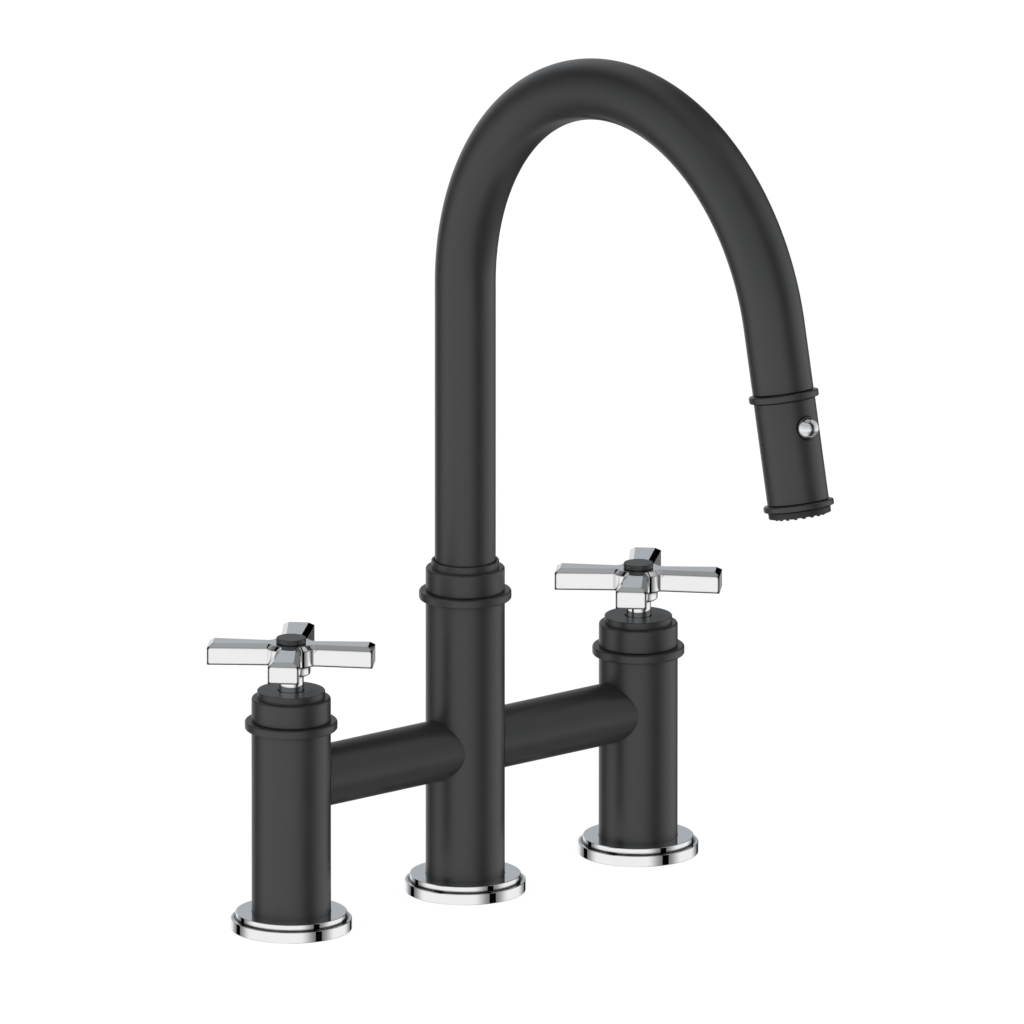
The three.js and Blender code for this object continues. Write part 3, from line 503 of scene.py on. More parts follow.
def dress_post(prefix):
    place = post_place(prefix)

    def measure(node):
        return extent(f"{prefix}_{node}", place)

    def add(node, surface, slot):
        name = f"{prefix}_{node}"
        add_piece(f"{name}_skin", surface.placed(place), FINISHES[slot], "deck_body", [name])

    post_radius = measure("column")[0]
    bush_radius, _, bush_top = measure("foot_bush")
    collar_radius, shoulder, bonnet_foot = measure("collar_ring")
    cap_top = measure("bonnet")[2]
    cap_foot = cap_top - CAP_HEIGHT
    add("column", turned([
        [bush_radius + SEAM, 0],
        [post_radius, 0],
        [post_radius, shoulder - SEAM],
        [post_radius - GROOVE, shoulder - SEAM],
        [post_radius - GROOVE, shoulder],
        [bush_radius + SEAM, shoulder],
    ], step=RUN_STEP), "satin_black")
    add("collar_ring", turned([
        [bush_radius, shoulder],
        [collar_radius, shoulder, COLLAR_EDGE],
        [collar_radius, bonnet_foot, COLLAR_EDGE],
        [bush_radius, bonnet_foot],
    ]), "satin_black")
    hole_radius = spout_radius() + FIT if prefix == "center" else SKIRT_HOLE_RADIUS
    add("bonnet", turned([
        [hole_radius, cap_foot - SKIRT_WELL],
        [post_radius - 2 * GROOVE, bonnet_foot],
        [post_radius - GROOVE, bonnet_foot],
        [post_radius - GROOVE, bonnet_foot + SEAM],
        [post_radius, bonnet_foot + SEAM],
        [post_radius, cap_foot, BONNET_EDGE],
        [CAP_RADIUS, cap_foot, CAP_FOOT_EDGE],
        [CAP_RADIUS, cap_top, CAP_EDGE],
        [hole_radius, cap_top],
    ]), "satin_black")
    flange_radius, _, flange_top = measure("flange")
    gasket_radius, _, gasket_top = measure("flange_gasket")
    add("flange", turned([
        [post_radius + SEAM, gasket_top],
        [gasket_radius + FIT, gasket_top],
        [gasket_radius + FIT, 0],
        [flange_radius, 0],
        [flange_radius, FLANGE_RIM, FLANGE_EDGE],
        [FLANGE_STEP_RADIUS, FLANGE_RIM, FINE_EDGE],
        [FLANGE_STEP_RADIUS, flange_top, FLANGE_EDGE],
        [post_radius + SEAM, flange_top, SHARP_EDGE],
    ]), "chrome")
    add("flange_gasket", turned([
        [post_radius + FIT, 0],
        [gasket_radius, 0],
        [gasket_radius, gasket_top],
        [post_radius + FIT, gasket_top],
    ]), "rubber")
    add("foot_bush", foot_bush(prefix, bush_radius, bush_top), "brass")


SOCKET_RADIUS = 9
SOCKET_DEPTH = 9
THREAD_PITCH = 1.6
THREAD_DEPTH = 0.5
SLEEVE_RADIUS = 8.3


def foot_bush(prefix, radius, top):
    """Brass bush in a post's foot: a threaded supply socket, or the hose's guide."""
    bore = SLEEVE_RADIUS + FIT if prefix == "center" else SOCKET_RADIUS
    corners = [[bore + THREAD_DEPTH, 0], [radius, 0], [radius, top]]
    if prefix == "center":
        return turned([[bore, 0], *corners[1:], [bore, top]])
    thread = []
    for ridge in range(int(SOCKET_DEPTH / THREAD_PITCH), 0, -1):
        height = ridge * THREAD_PITCH
        thread += [[bore, height, FINE_EDGE],
                   [bore + THREAD_DEPTH, height - THREAD_PITCH / 2, FINE_EDGE]]
    # The socket opens into a narrower bore, under the riser tube.
    riser_bore = extent(f"{prefix}_riser_tube", post_place(prefix))[0] / 2
    return turned([
        *corners,
        [riser_bore, top],
        [riser_bore, SOCKET_DEPTH],
        *thread[:-1],
    ], sides=MIDDLE_SIDES)


# ---------------------------------------------------------------------------------------------
# Bridge
# ---------------------------------------------------------------------------------------------

BRIDGE_WALL = 2.4


def bridge_tube(post_radius, spacing, radius, height):
    """One half of the bridge along +X, with both ends cut to the posts' curve."""
    length = spacing / 2
    profile, _ = rounded([
        [radius - BRIDGE_WALL, 0],
        [radius, 0],
        [radius, length],
        [radius - BRIDGE_WALL, length],
    ], step=RUN_STEP)
    angles = np.linspace(0, 2 * math.pi, SIDES, endpoint=False)
    sines, cosines = np.sin(angles), np.cos(angles)
    rings, normals = [], []
    for spot, facing in profile:
        saddle = np.sqrt((post_radius + SEAM) ** 2 - (spot.x * sines) ** 2)
        share = spot.y / length
        x = spot.y + saddle * (1 - 2 * share)
        rings.append(np.column_stack([x, spot.x * sines, height - spot.x * cosines]))
        outward = np.full(SIDES, facing.y)
        normals.append(np.column_stack([outward, facing.x * sines, -facing.x * cosines]))
    return skin(rings, normals, closed=True)


def dress_bridge():
    post_radius = extent("center_column")[0]
    spacing = (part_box("cold_column")[0].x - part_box("hot_column")[0].x) / MM
    low, high = (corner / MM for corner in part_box("cold_bridge_tube"))
    for prefix, turn in (("cold", 0), ("hot", math.pi)):
        tube = bridge_tube(post_radius, spacing, (high.z - low.z) / 2, (high.z + low.z) / 2)
        tube.placed(Matrix.Rotation(turn, 4, "Z"))
        node = f"{prefix}_bridge_tube"
        add_piece(f"{node}_skin", tube, satin_black, "deck_body", [node])


# ---------------------------------------------------------------------------------------------
# Cross handles
# ---------------------------------------------------------------------------------------------

ARM_TIP_WIDTH = 14
ARM_TAPER = math.radians(3.1)
HUB_RADIUS = 11.8
ARM_FILLET = 0.9
ARM_CORNER = 0.35             # rounding of an arm's upright edges
ARM_EDGE = 0.35               # rounding of their undersides' edges
ARM_FOOT = 123.3
CHAMFER_WIDTH = 2.3
CHAMFER_HEIGHT = 1.7
CHAMFER_EDGE = 0.2
ARM_REACH = 37.4
ARM_TURN = math.radians(45)
FILLET_STEPS = 6
HUB_STEPS = 10
SKIRT_RADIUS = 5.72
SKIRT_FOOT = 108.9
BOSS_RADIUS = 8.75
BOSS_FOOT = 118.4
BOSS_EDGE = 0.9
BOSS_FOOT_EDGE = 0.15
OVERLAP = 1                   # how far joined forms run into each other
BUTTON_GROOVE = 0.4           # height of the dark line where the button meets the handle
BUTTON_GROOVE_DEPTH = 1
BUTTON_EDGE = 0.45
BUTTON_FOOT_EDGE = 0.05


def cross_plan(reach):
    """Plan of the round middle and its four arms that reach this far: points and normals."""
    inset = ARM_REACH - reach

    def side_at(x):
        return ARM_TIP_WIDTH / 2 - inset / math.cos(ARM_TAPER) - (ARM_REACH - x) * math.tan(ARM_TAPER)

    # The two corners of an arm's tip.
    points, normals = [], []
    tip_turn = math.pi / 2 + ARM_TAPER
    back = ARM_CORNER * math.tan(tip_turn / 2)
    for way, start in ((-1, -tip_turn), (1, 0)):
        centre = Vector((reach - ARM_CORNER, way * (side_at(reach) - back)))
        for k in range(ARC_STEPS + 1):
            facing = heading(start + tip_turn * k / ARC_STEPS)
            points.append(centre + ARM_CORNER * facing)
            normals.append(facing)
    # The way on to the next arm: a fillet, an arc of the round middle and the mirrored fillet.
    hub, fillet = HUB_RADIUS - inset, ARM_FILLET + inset
    lift = side_at(0) * math.cos(ARM_TAPER) + fillet
    bearing = ARM_TAPER + math.asin(lift / (hub + fillet))
    curve = []
    for k in range(FILLET_STEPS + 1):
        bend = k / FILLET_STEPS * (math.pi / 2 + ARM_TAPER - bearing)
        facing = heading(ARM_TAPER - math.pi / 2 - bend)
        curve.append(((hub + fillet) * heading(bearing) + fillet * facing, -facing))
    for k in range(1, HUB_STEPS):
        facing = heading(bearing + k / HUB_STEPS * (math.pi / 2 - 2 * bearing))
        curve.append((hub * facing, facing))
    curve += [(point.yx, facing.yx) for point, facing in reversed(curve[:FILLET_STEPS + 1])]
    points += [point for point, _ in curve]
    normals += [facing for _, facing in curve]
    plan, out = [], []
    for arm in range(4):
        turn = Matrix.Rotation(ARM_TURN + arm * math.pi / 2, 2)
        plan += [turn @ point for point in points]
        out += [turn @ normal for normal in normals]
    return plan, out


def heading(angle):
    return Vector((math.cos(angle), math.sin(angle)))


def cross_handle(arm_top):
    arms = lofted([
        [0, ARM_FOOT],
        [ARM_REACH, ARM_FOOT, ARM_EDGE],
        [ARM_REACH, arm_top - CHAMFER_HEIGHT, CHAMFER_EDGE],
        [ARM_REACH - CHAMFER_WIDTH, arm_top, CHAMFER_EDGE],
        [0, arm_top],
    ], cross_plan)
    hub = turned([
        [0, SKIRT_FOOT],
        [SKIRT_RADIUS, SKIRT_FOOT],
        [SKIRT_RADIUS, BOSS_FOOT, BOSS_FOOT_EDGE],
        [BOSS_RADIUS, BOSS_FOOT, BOSS_EDGE],
        [BOSS_RADIUS, ARM_FOOT + OVERLAP],
        [0, ARM_FOOT + OVERLAP],
    ], sides=MIDDLE_SIDES)
    return arms.join(hub)


def dress_handle(prefix):
    place = post_place(prefix)
    body = f"{prefix}_handle"
    handle, button = f"{prefix}_cross_handle", f"{prefix}_index_button"
    _, _, arm_top = extent(handle, place)
    button_radius, _, button_top = extent(button, place)
    add_piece(f"{handle}_skin", cross_handle(arm_top).placed(place), shaded_handle_chrome, body,
              [handle])
    disc = turned([
        [0, arm_top - OVERLAP],
        [button_radius - BUTTON_GROOVE_DEPTH, arm_top - OVERLAP],
        [button_radius - BUTTON_GROOVE_DEPTH, arm_top + BUTTON_GROOVE, SHARP_EDGE],
        [button_radius, arm_top + BUTTON_GROOVE, BUTTON_FOOT_EDGE],
        [button_radius, button_top, BUTTON_EDGE],
        [0, button_top],
    ], sides=MIDDLE_SIDES)
    add_piece(f"{button}_skin", disc.placed(place), satin_black, body, [button])


# ---------------------------------------------------------------------------------------------
# Spout, dock and hose
# ---------------------------------------------------------------------------------------------

# Places along the spray head's axis are drops below the arch's end.
SPOUT_DROP = 29.7
SPOUT_LIP = 0.5
DOCK_TOP = 12
DOCK_THROAT = 5
DOCK_THROAT_RADIUS = 7.4
DOCK_EDGE = 1
NECK_RADIUS = 9.2
NECK_TOP = 17.6
NECK_BORE_RADIUS = 7.3
NECK_TOP_EDGE = 1
NECK_BORE_EDGE = 0.4
FERRULE_RADIUS = 6.9
FERRULE_SHOULDER = 32.6
FERRULE_NECK_RADIUS = 5
FERRULE_BORE = 3.4
FERRULE_LIP = 0.8
FERRULE_SEAT = 29.4
HOSE_END = 29.3
HOSE_SPLIT = 10               # where the hose's straight end starts


def spout_radius():
    low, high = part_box("spout_tube")
    return (high.x - low.x) / 2 / MM


def dress_spout():
    radius = spout_radius() - INSIDE
    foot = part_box("spout_tube")[0].z / MM
    tube = turned([
        [radius - SPOUT_WALL, foot],
        [radius, foot],
        [radius, ARCH_END + SPOUT_DROP, SPOUT_LIP],
        [radius - SPOUT_WALL, ARCH_END + SPOUT_DROP, SPOUT_LIP],
    ], line=spout_line, step=SPOUT_STEP)
    add_piece("spout_tube_skin", tube, satin_black, "spout", ["spout_tube"])
    bore = radius - SPOUT_WALL - SEAM
    guide = NECK_RADIUS + FIT
    dock = turned([
        [guide, FIT - SPOUT_DROP, DOCK_EDGE],
        [bore, FIT - SPOUT_DROP],
        [bore, -DOCK_TOP],
        [DOCK_THROAT_RADIUS, -DOCK_TOP, DOCK_EDGE],
        [DOCK_THROAT_RADIUS, -DOCK_TOP - DOCK_THROAT, DOCK_EDGE],
        [guide, -DOCK_TOP - DOCK_THROAT],
    ]).placed(HEAD_PLACE)
    add_piece("dock_bush_skin", dock, plastic, "spout", ["dock_bush"])
    split = ARCH_END + HOSE_SPLIT
    add_piece("spray_hose_skin", hose(HOSE_FOOT, split), braid, "spout", ["spray_hose"])
    straight_end = hose(split, ARCH_END + HOSE_END)
    piece = add_piece("spray_hose_end_skin", straight_end, braid, None, ["spray_hose"])
    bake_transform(piece)


def hose(start, end):
    """A length of the hose, between two distances along the gooseneck's line."""
    return turned([
        [0, start],
        [HOSE_RADIUS, start],
        [HOSE_RADIUS, end],
        [0, end],
    ], line=spout_line, step=SPOUT_STEP / 2, sides=SMALL_SIDES)


def dress_hose_end():
    _, foot, top = extent("hose_ferrule", HEAD_PLACE)
    ferrule = turned([
        [FERRULE_BORE, foot],
        [FERRULE_NECK_RADIUS, foot],
        [FERRULE_NECK_RADIUS, -FERRULE_SHOULDER],
        [FERRULE_RADIUS, -FERRULE_SHOULDER],
        [FERRULE_RADIUS, top, FERRULE_LIP],
        [HOSE_RADIUS + SEAM, top],
        [HOSE_RADIUS + SEAM, -FERRULE_SEAT],
        [FERRULE_BORE, -FERRULE_SEAT],
    ], sides=SMALL_SIDES).placed(HEAD_PLACE)
    add_piece("hose_ferrule_skin", ferrule, steel, "hose_end", ["hose_ferrule"])


# ---------------------------------------------------------------------------------------------
# Spray head
# ---------------------------------------------------------------------------------------------

CONNECTOR_BORE = 5.3
CONNECTOR_FLANGE = 2.5        # thickness of its foot
CONNECTOR_SEAT = 32.9
GROOVE_TOP, GROOVE_FOOT = 25.5, 27.6  # the O-ring groove round the neck
GROOVE_DEPTH = 0.5
GROOVE_SLOPE = 0.4
SHELL_WALL = 1.8
SHELL_TOP_WALL = 2.2
RING_EDGE = 0.8
BALL_DROP = 46.2
BALL_HOLE = 5.5
BALL_INSET = 0.05
BALL_RADIUS = 5.2
BALL_RINGS = 64
HOLE_EDGE = 0.2
PATCH_REACH = 8               # half of the hole's patch, along and across the shell
PATCH_STEPS = 6
FACE_RIM = 1                  # width of the raised rim round the nozzle mat
FACE_HEIGHT = 2.8
FACE_EDGE = 0.4
RIM_EDGE = 0.3
LIP_EDGE = 0.2
NOZZLE_RINGS = [(10.9, 18), (7.3, 9)]  # radius and number of nozzles
NOZZLE_BORE = 0.35
NOZZLE_BORE_TOP = 0.2
NOZZLE_HEIGHT = 0.7
NOZZLE_TIP_RADIUS = 0.75
NOZZLE_ROOT_RADIUS = 1.05
NOZZLE_SUNK = 0.3             # how far a nozzle runs into the mat
NOZZLE_SIDES = 16
MAT_RECESS = 1.2
MAT_HEIGHT = 1
MAT_BORE = 4.5
AERATOR_RIM = 1
AERATOR_FLOOR = 0.8           # thickness of its closed back
AERATOR_BARS = 3
BAR_SPACING = 0.8
BAR_WIDTH = 0.36
BAR_RECESS = 0.3
BAR_ROOT = 0.7
BAR_EDGE = 0.06
AERATOR_SIDES = 64


def shell_wall(radius, foot, top):
    """The shell's outside with the button's hole in its -Y side."""
    turn = 2 * math.pi / SIDES
    reach = round(PATCH_REACH / radius / turn)
    rows = np.linspace(-PATCH_REACH, PATCH_REACH, 2 * reach + 1) - BALL_DROP
    heights = [foot, *rows, top]

    def on_shell(angle, height):
        out = np.array([np.sin(angle), -np.cos(angle), np.zeros_like(angle)]).T
        return out * radius + np.outer(height, (0, 0, 1)), out

    # The wall, without the faces of a square patch round the hole.
    angles = np.arange(SIDES) * turn
    rings = [on_shell(angles, np.full(SIDES, height)) for height in heights]
    wall = skin([points for points, _ in rings], [normals for _, normals in rings], closed=False)
    kept = []
    for face in wall.faces:
        row, column = divmod(face[0], SIDES)
        offset = (column + SIDES // 2) % SIDES - SIDES // 2
        if not (1 <= row <= 2 * reach and -reach <= offset < reach):
            kept.append(face)
    surface = Surface().add(wall.points, wall.normals, kept)

    # The patch runs from that square to the hole's rim.
    steps = np.arange(-reach, reach)
    low, high = rows[0], rows[-1]
    side = np.full(2 * reach, reach)
    edge_angles = np.concatenate([steps, side, -steps, -side]) * turn
    edge_heights = np.concatenate([np.full(2 * reach, low), rows[:-1],
                                   np.full(2 * reach, high), rows[:0:-1]])
    around = np.arctan2(edge_heights + BALL_DROP, edge_angles * radius)
    rim = BALL_HOLE + HOLE_EDGE
    rim_angles = np.arcsin(rim * np.cos(around) / radius)
    rim_heights = rim * np.sin(around) - BALL_DROP
    rings, normals = [], []
    for k in range(PATCH_STEPS + 1):
        share = k / PATCH_STEPS
        points, out = on_shell(edge_angles + (rim_angles - edge_angles) * share,
                               edge_heights + (rim_heights - edge_heights) * share)
        rings.append(points)
        normals.append(out)

    # The rim is rounded and goes on through the wall.
    inward = -np.column_stack([np.cos(around), np.zeros_like(around), np.sin(around)])
    for k in range(1, ARC_STEPS + 1):
        bend = math.pi / 2 * k / ARC_STEPS
        across = rim - HOLE_EDGE * math.sin(bend)
        points, out = on_shell(np.arcsin(across * np.cos(around) / radius),
                               across * np.sin(around) - BALL_DROP)
        rings.append(points + np.array((0, HOLE_EDGE * (1 - math.cos(bend)), 0)))
        normals.append(out * math.cos(bend) + inward * math.sin(bend))
    rings.append(rings[-1] + np.array((0, SHELL_WALL, 0)))
    normals.append(inward)
    return surface.join(skin(rings, normals, closed=False))


def spray_shell(radius, foot, top):
    """The shell: its pierced outside, and its ends and bore as a turned skin."""
    bore, neck = radius - SHELL_WALL, NECK_RADIUS + FIT
    profile, _ = rounded([
        [bore, foot],
        [radius, foot],
        [radius, top],
        [neck, top],
        [neck, top - SHELL_TOP_WALL],
        [bore, top - SHELL_TOP_WALL],
    ])
    start = ARC_STEPS + 1
    order = profile[start + ARC_STEPS + 1:] + profile[:start + ARC_STEPS + 1]
    angles = np.linspace(0, 2 * math.pi, SIDES, endpoint=False)
    out = np.column_stack([np.sin(angles), -np.cos(angles)])
    # The run starts above the outside wall and comes round to its foot.
    rings = [np.column_stack([spot.x * out, np.full(SIDES, spot.y)]) for spot, _ in order]
    normals = [np.column_stack([facing.x * out, np.full(SIDES, facing.y)]) for _, facing in order]
    wall_foot, wall_top = order[-1][0].y, order[0][0].y
    return skin(rings, normals, closed=False).join(shell_wall(radius, wall_foot, wall_top))


def dress_head():
    def measure(node):
        return extent(node, HEAD_PLACE)

    def add(node, surface, slot, finish=None, body="spray_head"):
        finish = finish or FINISHES[slot]
        add_piece(f"{node}_skin", surface.placed(HEAD_PLACE), finish, body, [node])

    shell_radius, shell_foot, shell_top = measure("spray_shell")
    bore = shell_radius - SHELL_WALL
    flange_radius, flange_foot, _ = measure("hose_connector")
    flange_top = flange_foot + CONNECTOR_FLANGE
    groove_radius = NECK_RADIUS - GROOVE_DEPTH
    add("hose_connector", turned([
        [CONNECTOR_BORE, flange_foot],
        [flange_radius, flange_foot],
        [flange_radius, flange_top],
        [NECK_RADIUS, flange_top],
        [NECK_RADIUS, -GROOVE_FOOT, FINE_EDGE],
        [groove_radius, GROOVE_SLOPE - GROOVE_FOOT, FINE_EDGE],
        [groove_radius, -GROOVE_SLOPE - GROOVE_TOP, FINE_EDGE],
        [NECK_RADIUS, -GROOVE_TOP, FINE_EDGE],
        [NECK_RADIUS, -NECK_TOP, NECK_TOP_EDGE],
        [NECK_BORE_RADIUS, -NECK_TOP, NECK_BORE_EDGE],
        [NECK_BORE_RADIUS, -CONNECTOR_SEAT],
        [CONNECTOR_BORE, -CONNECTOR_SEAT],
    ], sides=MIDDLE_SIDES), "chrome")
    for node, inner in (("spray_top_ring", NECK_RADIUS + FIT), ("spray_bottom_ring", bore)):
        radius, foot, top = measure(node)
        add(node, turned([
            [inner, foot],
            [radius - INSIDE, foot, RING_EDGE],
            [radius - INSIDE, top, RING_EDGE],
            [inner, top],
        ]), "satin_black")
    add("spray_shell", spray_shell(shell_radius, shell_foot, shell_top), "satin_black")
    face_radius, face_foot, face_inner = measure("spray_face")
    mat_top = face_foot + MAT_RECESS - FIT
    add("spray_face", turned([
        [0, face_foot + MAT_RECESS],
        [face_radius - FACE_RIM, face_foot + MAT_RECESS],
        [face_radius - FACE_RIM, face_foot, LIP_EDGE],
        [face_radius, face_foot, FACE_EDGE],
        [face_radius, face_foot + FACE_HEIGHT],
        [bore - FIT, face_foot + FACE_HEIGHT],
        [bore - FIT, face_inner],
        [0, face_inner],
    ]), "plastic")
    add("nozzle_mat", nozzle_mat(mat_top, face_radius - FACE_RIM - SEAM), "rubber", nozzle_rubber)
    aerator_radius, aerator_foot, _ = measure("aerator")
    add("aerator", aerator(aerator_radius, aerator_foot, mat_top), "plastic")
    ball_centre = Matrix.Translation((0, BALL_INSET - shell_radius, -BALL_DROP))
    add("mode_button", ball(BALL_RADIUS).placed(ball_centre), "chrome", body="mode_button")
    dress_spring()


def nozzle_mat(top, radius):
    """The rubber mat and its nozzles, which stand below it."""
    foot = top - MAT_HEIGHT
    tip, root = foot - NOZZLE_HEIGHT, foot + NOZZLE_SUNK
    mat = turned([
        [MAT_BORE, foot],
        [radius, foot, RIM_EDGE],
        [radius, top],
        [MAT_BORE, top],
    ])
    for ring_radius, count in NOZZLE_RINGS:
        for i in range(count):
            nozzle = turned([
                [0, foot + NOZZLE_BORE_TOP],
                [NOZZLE_BORE, foot + NOZZLE_BORE_TOP],
                [NOZZLE_BORE, tip, FINE_EDGE],
                [NOZZLE_TIP_RADIUS, tip, LIP_EDGE],
                [NOZZLE_ROOT_RADIUS, root, FINE_EDGE],
                [0, root],
            ], sides=NOZZLE_SIDES)
            spot = ring_radius * heading(2 * math.pi * i / count)
            mat.join(nozzle.placed(Matrix.Translation((*spot, 0))))
    return mat


def aerator(radius, foot, top):
    """The middle outlet: a rounded rim round a screen of concentric bars."""
    back = top - AERATOR_FLOOR
    outlet = turned([
        [0, back],
        [radius - AERATOR_RIM, back],
        [radius - AERATOR_RIM, foot, RIM_EDGE],
        [radius, foot, FACE_EDGE],
        [radius, top],
        [0, top],
    ], sides=AERATOR_SIDES)
    for k in range(1, AERATOR_BARS + 1):
        inner, outer = BAR_SPACING * k - BAR_WIDTH / 2, BAR_SPACING * k + BAR_WIDTH / 2
        outlet.join(turned([
            [inner, foot + BAR_RECESS],
            [outer, foot + BAR_RECESS],
            [outer, top - BAR_ROOT],
            [inner, top - BAR_ROOT],
        ], edge=BAR_EDGE, sides=SMALL_SIDES))
    return outlet


def ball(radius):
    latitudes = np.linspace(-math.pi / 2, math.pi / 2, BALL_RINGS + 2)[1:-1]
    longitudes = np.linspace(0, 2 * math.pi, MIDDLE_SIDES, endpoint=False)
    normals = []
    for latitude in latitudes:
        across, height = math.cos(latitude), np.full(MIDDLE_SIDES, math.sin(latitude))
        x, y = across * np.cos(longitudes), across * np.sin(longitudes)
        normals.append(np.column_stack([x, y, height]))
    return skin([radius * ring for ring in normals], normals, closed=False, caps=(True, True))


SPRING_TURNS = 5
SPRING_WIRE = 0.4
SPRING_RADIUS = 2
SPRING_STEPS = 32             # in one turn
WIRE_SIDES = 12


def dress_spring():
    """The button's return spring, which flattens as the button is pressed."""
    corners = frame["nodes"]["button_spring"].data.vertices
    depths = [(HEAD_PLACE.inverted() @ (corner.co / MM)).y for corner in corners]
    start, end = min(depths) + SPRING_WIRE, max(depths) - SPRING_WIRE
    steps = SPRING_TURNS * SPRING_STEPS
    angles = np.linspace(0, 2 * math.pi, WIRE_SIDES, endpoint=False)
    rings, normals = [], []
    for k in range(steps + 1):
        turn = 2 * math.pi * SPRING_TURNS * k / steps
        out = np.array((math.cos(turn), 0, math.sin(turn)))
        centre = SPRING_RADIUS * out + np.array((0, start + (end - start) * k / steps, -BALL_DROP))
        facing = np.outer(np.cos(angles), out) + np.outer(np.sin(angles), (0, -1, 0))
        rings.append(centre + SPRING_WIRE * facing)
        normals.append(facing)
    wire = skin(rings, normals, closed=False, caps=(True, True)).placed(HEAD_PLACE)
    piece = add_piece("button_spring_skin", wire, steel, "spray_head", ["button_spring"])
    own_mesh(piece)


# ---------------------------------------------------------------------------------------------
# Studio
# ---------------------------------------------------------------------------------------------

FLOOR_SIZE = 12               # metres
FLOOR_GAP = 0.1 * MM
FLOOR_GLOW = 0.93
FLOOR_PAINT = (0.1, 0.1, 0.1, 1)
# The white panels stand round the faucet. Dark gaps part them: middle and half width, in degrees
# to the right of the camera. A panel is dim beside its gaps and reaches full light further in.
PANEL_GAPS = [(54.5, 7), (-121.5, 7), (157, 6.5)]
PANEL_EDGE = 0.25
PANEL_FALL = 31
BLUR = 0.01                   # how softly gaps and seams end
# The panels' light from straight down to straight up, as height of the direction.
PANEL_LEVELS = [(-1, 0.7), (-0.6, 0.7), (-0.4, 0.78), (-0.26, 0.93), (0.0, 0.8),
                (0.26, (0.63, 0.67, 0.71)), (0.6, 0.5), (0.88, 0.55), (0.895, 0.02),
                (0.925, 0.02), (0.935, 0.5), (0.985, 0.26), (1, (0.36, 0.38, 0.39))]
CEILING, TABLE = 0.93, -0.945  # heights past which no gap parts the light
# Seams run round the panels' edges: the middle of such a ring (rightwards, towards the camera and
# up), the cosine of its reach, and the side of the horizon where it shows.
PANEL_SEAMS = [((0.381, -0.588, 0.714), 0.419, 1), ((0.784, -0.336, -0.522), 0.43, -1)]
SEAM_WIDTH = 0.06
SEAM_START = 0.3              # height of direction, up or down, from which a seam shows
# The ground is dimmer on the right: share of light from far left to far right. It goes over into
# the panels between two heights of direction.
GROUND_LEVELS = [(-1, 1), (-0.1, 1), (0.4, 0.4), (1, 0.4)]
GROUND_TOP, PANEL_FOOT = -0.6, -0.3


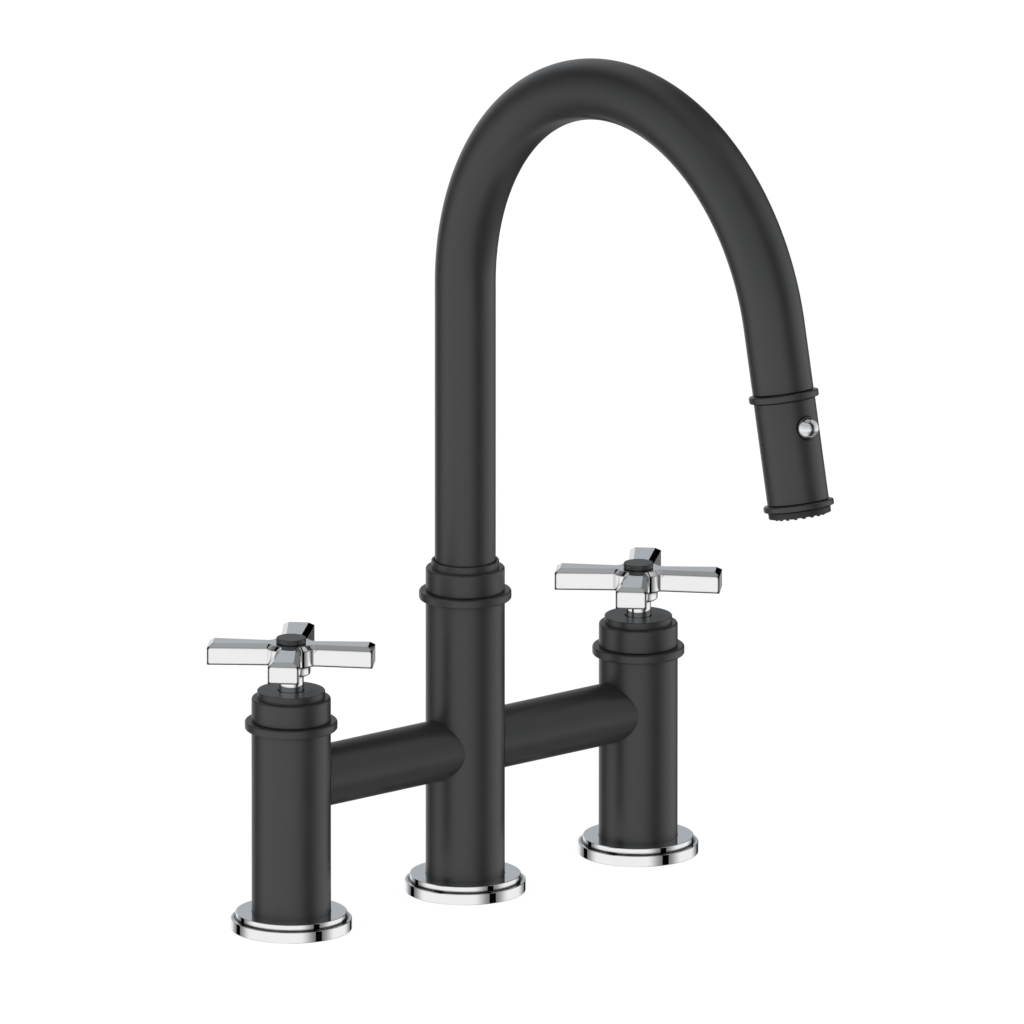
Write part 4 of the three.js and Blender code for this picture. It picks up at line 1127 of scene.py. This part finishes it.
def add_world():
    world = bpy.data.worlds.new("studio")
    world.use_nodes = True
    bpy.context.scene.world = world
    tree = world.node_tree
    tree.nodes.clear()
    direction = add_node(tree, "ShaderNodeTexCoord").outputs["Generated"]
    right, near = along(tree, direction, SIDEWAYS), along(tree, direction, TOWARDS)
    azimuth = calculate(tree, "ARCTAN2", right, near)
    height = along(tree, direction, (0, 0, 1))
    stops = [((level + 1) / 2, grey) for level, grey in PANEL_LEVELS]
    panels = ramp(tree, remap(tree, height, -1, 1, 0, 1), stops)
    # Share of that light, from the gaps and seams to the ground.
    light = 1
    for middle, half in PANEL_GAPS:
        turn = calculate(tree, "SUBTRACT", azimuth, math.radians(middle))
        offset = calculate(tree, "ABSOLUTE", calculate(tree, "WRAP", turn, math.pi, -math.pi))
        half, fall = math.radians(half), math.radians(PANEL_FALL)
        panel = remap(tree, offset, half, half + fall, PANEL_EDGE, 1, smooth=True)
        inside = remap(tree, offset, half - BLUR, half + BLUR, 0, 1)
        light = calculate(tree, "MULTIPLY", light, calculate(tree, "MULTIPLY", panel, inside))
    for (across, ahead, up), reach, side in PANEL_SEAMS:
        middle = across * SIDEWAYS + ahead * TOWARDS + Vector((0, 0, up))
        turn = calculate(tree, "SUBTRACT", along(tree, direction, middle), reach)
        offset = calculate(tree, "ABSOLUTE", turn)
        seam = remap(tree, offset, SEAM_WIDTH - BLUR, SEAM_WIDTH + BLUR, 0, 1)
        other = calculate(tree, "LESS_THAN", calculate(tree, "MULTIPLY", height, side), SEAM_START)
        light = calculate(tree, "MULTIPLY", light, calculate(tree, "MAXIMUM", seam, other))
    above = calculate(tree, "GREATER_THAN", height, CEILING)
    below = calculate(tree, "LESS_THAN", height, TABLE)
    light = calculate(tree, "MAXIMUM", light, calculate(tree, "MAXIMUM", above, below))
    sideways = remap(tree, right, -1, 1, 0, 1)
    ground = ramp(tree, sideways, [((place + 1) / 2, level) for place, level in GROUND_LEVELS])
    ground = calculate(tree, "MAXIMUM", ground, remap(tree, height, GROUND_TOP, PANEL_FOOT, 0, 1))
    light = calculate(tree, "MULTIPLY", light, ground)
    # Glossy rays see the panels, and all others plain white.
    ray = add_node(tree, "ShaderNodeLightPath").outputs
    studio = add_node(tree, "ShaderNodeBackground", {"Color": panels, "Strength": light})
    plain = add_node(tree, "ShaderNodeBackground", {"Color": (1, 1, 1, 1), "Strength": 1.0})
    background = add_node(tree, "ShaderNodeMixShader", {0: ray["Is Glossy Ray"], 1: plain.outputs[0],
                                                        2: studio.outputs[0]})
    output = add_node(tree, "ShaderNodeOutputWorld")
    tree.links.new(background.outputs[0], output.inputs["Surface"])


def add_floor():
    """A pale floor that keeps the faucet's soft shadow. Only the camera sees it, from above."""
    mesh = bpy.data.meshes.new("floor")
    half = FLOOR_SIZE / 2
    corners = [(-half, -half), (half, -half), (half, half), (-half, half)]
    mesh.from_pydata([(x, y, -FLOOR_GAP) for x, y in corners], [], [(0, 1, 2, 3)])
    floor = bpy.data.objects.new("floor", mesh)
    bpy.context.scene.collection.objects.link(floor)
    material = bpy.data.materials.new("floor")
    material.use_nodes = True
    tree = material.node_tree
    tree.nodes.clear()
    ray = add_node(tree, "ShaderNodeLightPath").outputs
    behind = add_node(tree, "ShaderNodeNewGeometry").outputs["Backfacing"]
    seen = calculate(tree, "MULTIPLY", ray["Is Camera Ray"], calculate(tree, "SUBTRACT", 1, behind))
    glow = add_node(tree, "ShaderNodeEmission", {"Color": (1, 1, 1, 1), "Strength": FLOOR_GLOW})
    paint = add_node(tree, "ShaderNodeBsdfDiffuse", {"Color": FLOOR_PAINT})
    lit = add_node(tree, "ShaderNodeAddShader", {0: glow.outputs[0], 1: paint.outputs[0]})
    clear = add_node(tree, "ShaderNodeBsdfTransparent")
    mix = add_node(tree, "ShaderNodeMixShader", {0: seen, 1: clear.outputs[0], 2: lit.outputs[0]})
    output = add_node(tree, "ShaderNodeOutputMaterial")
    tree.links.new(mix.outputs[0], output.inputs["Surface"])
    mesh.materials.append(material)


# ---------------------------------------------------------------------------------------------
# The whole faucet
# ---------------------------------------------------------------------------------------------

add_camera()
finish_inner_nodes()
for post in ("hot", "cold", "center"):
    dress_post(post)
dress_bridge()
dress_handle("hot")
dress_handle("cold")
dress_spout()
dress_hose_end()
dress_head()
add_world()
add_floor()
bpy.context.scene.view_settings.view_transform = "Standard"
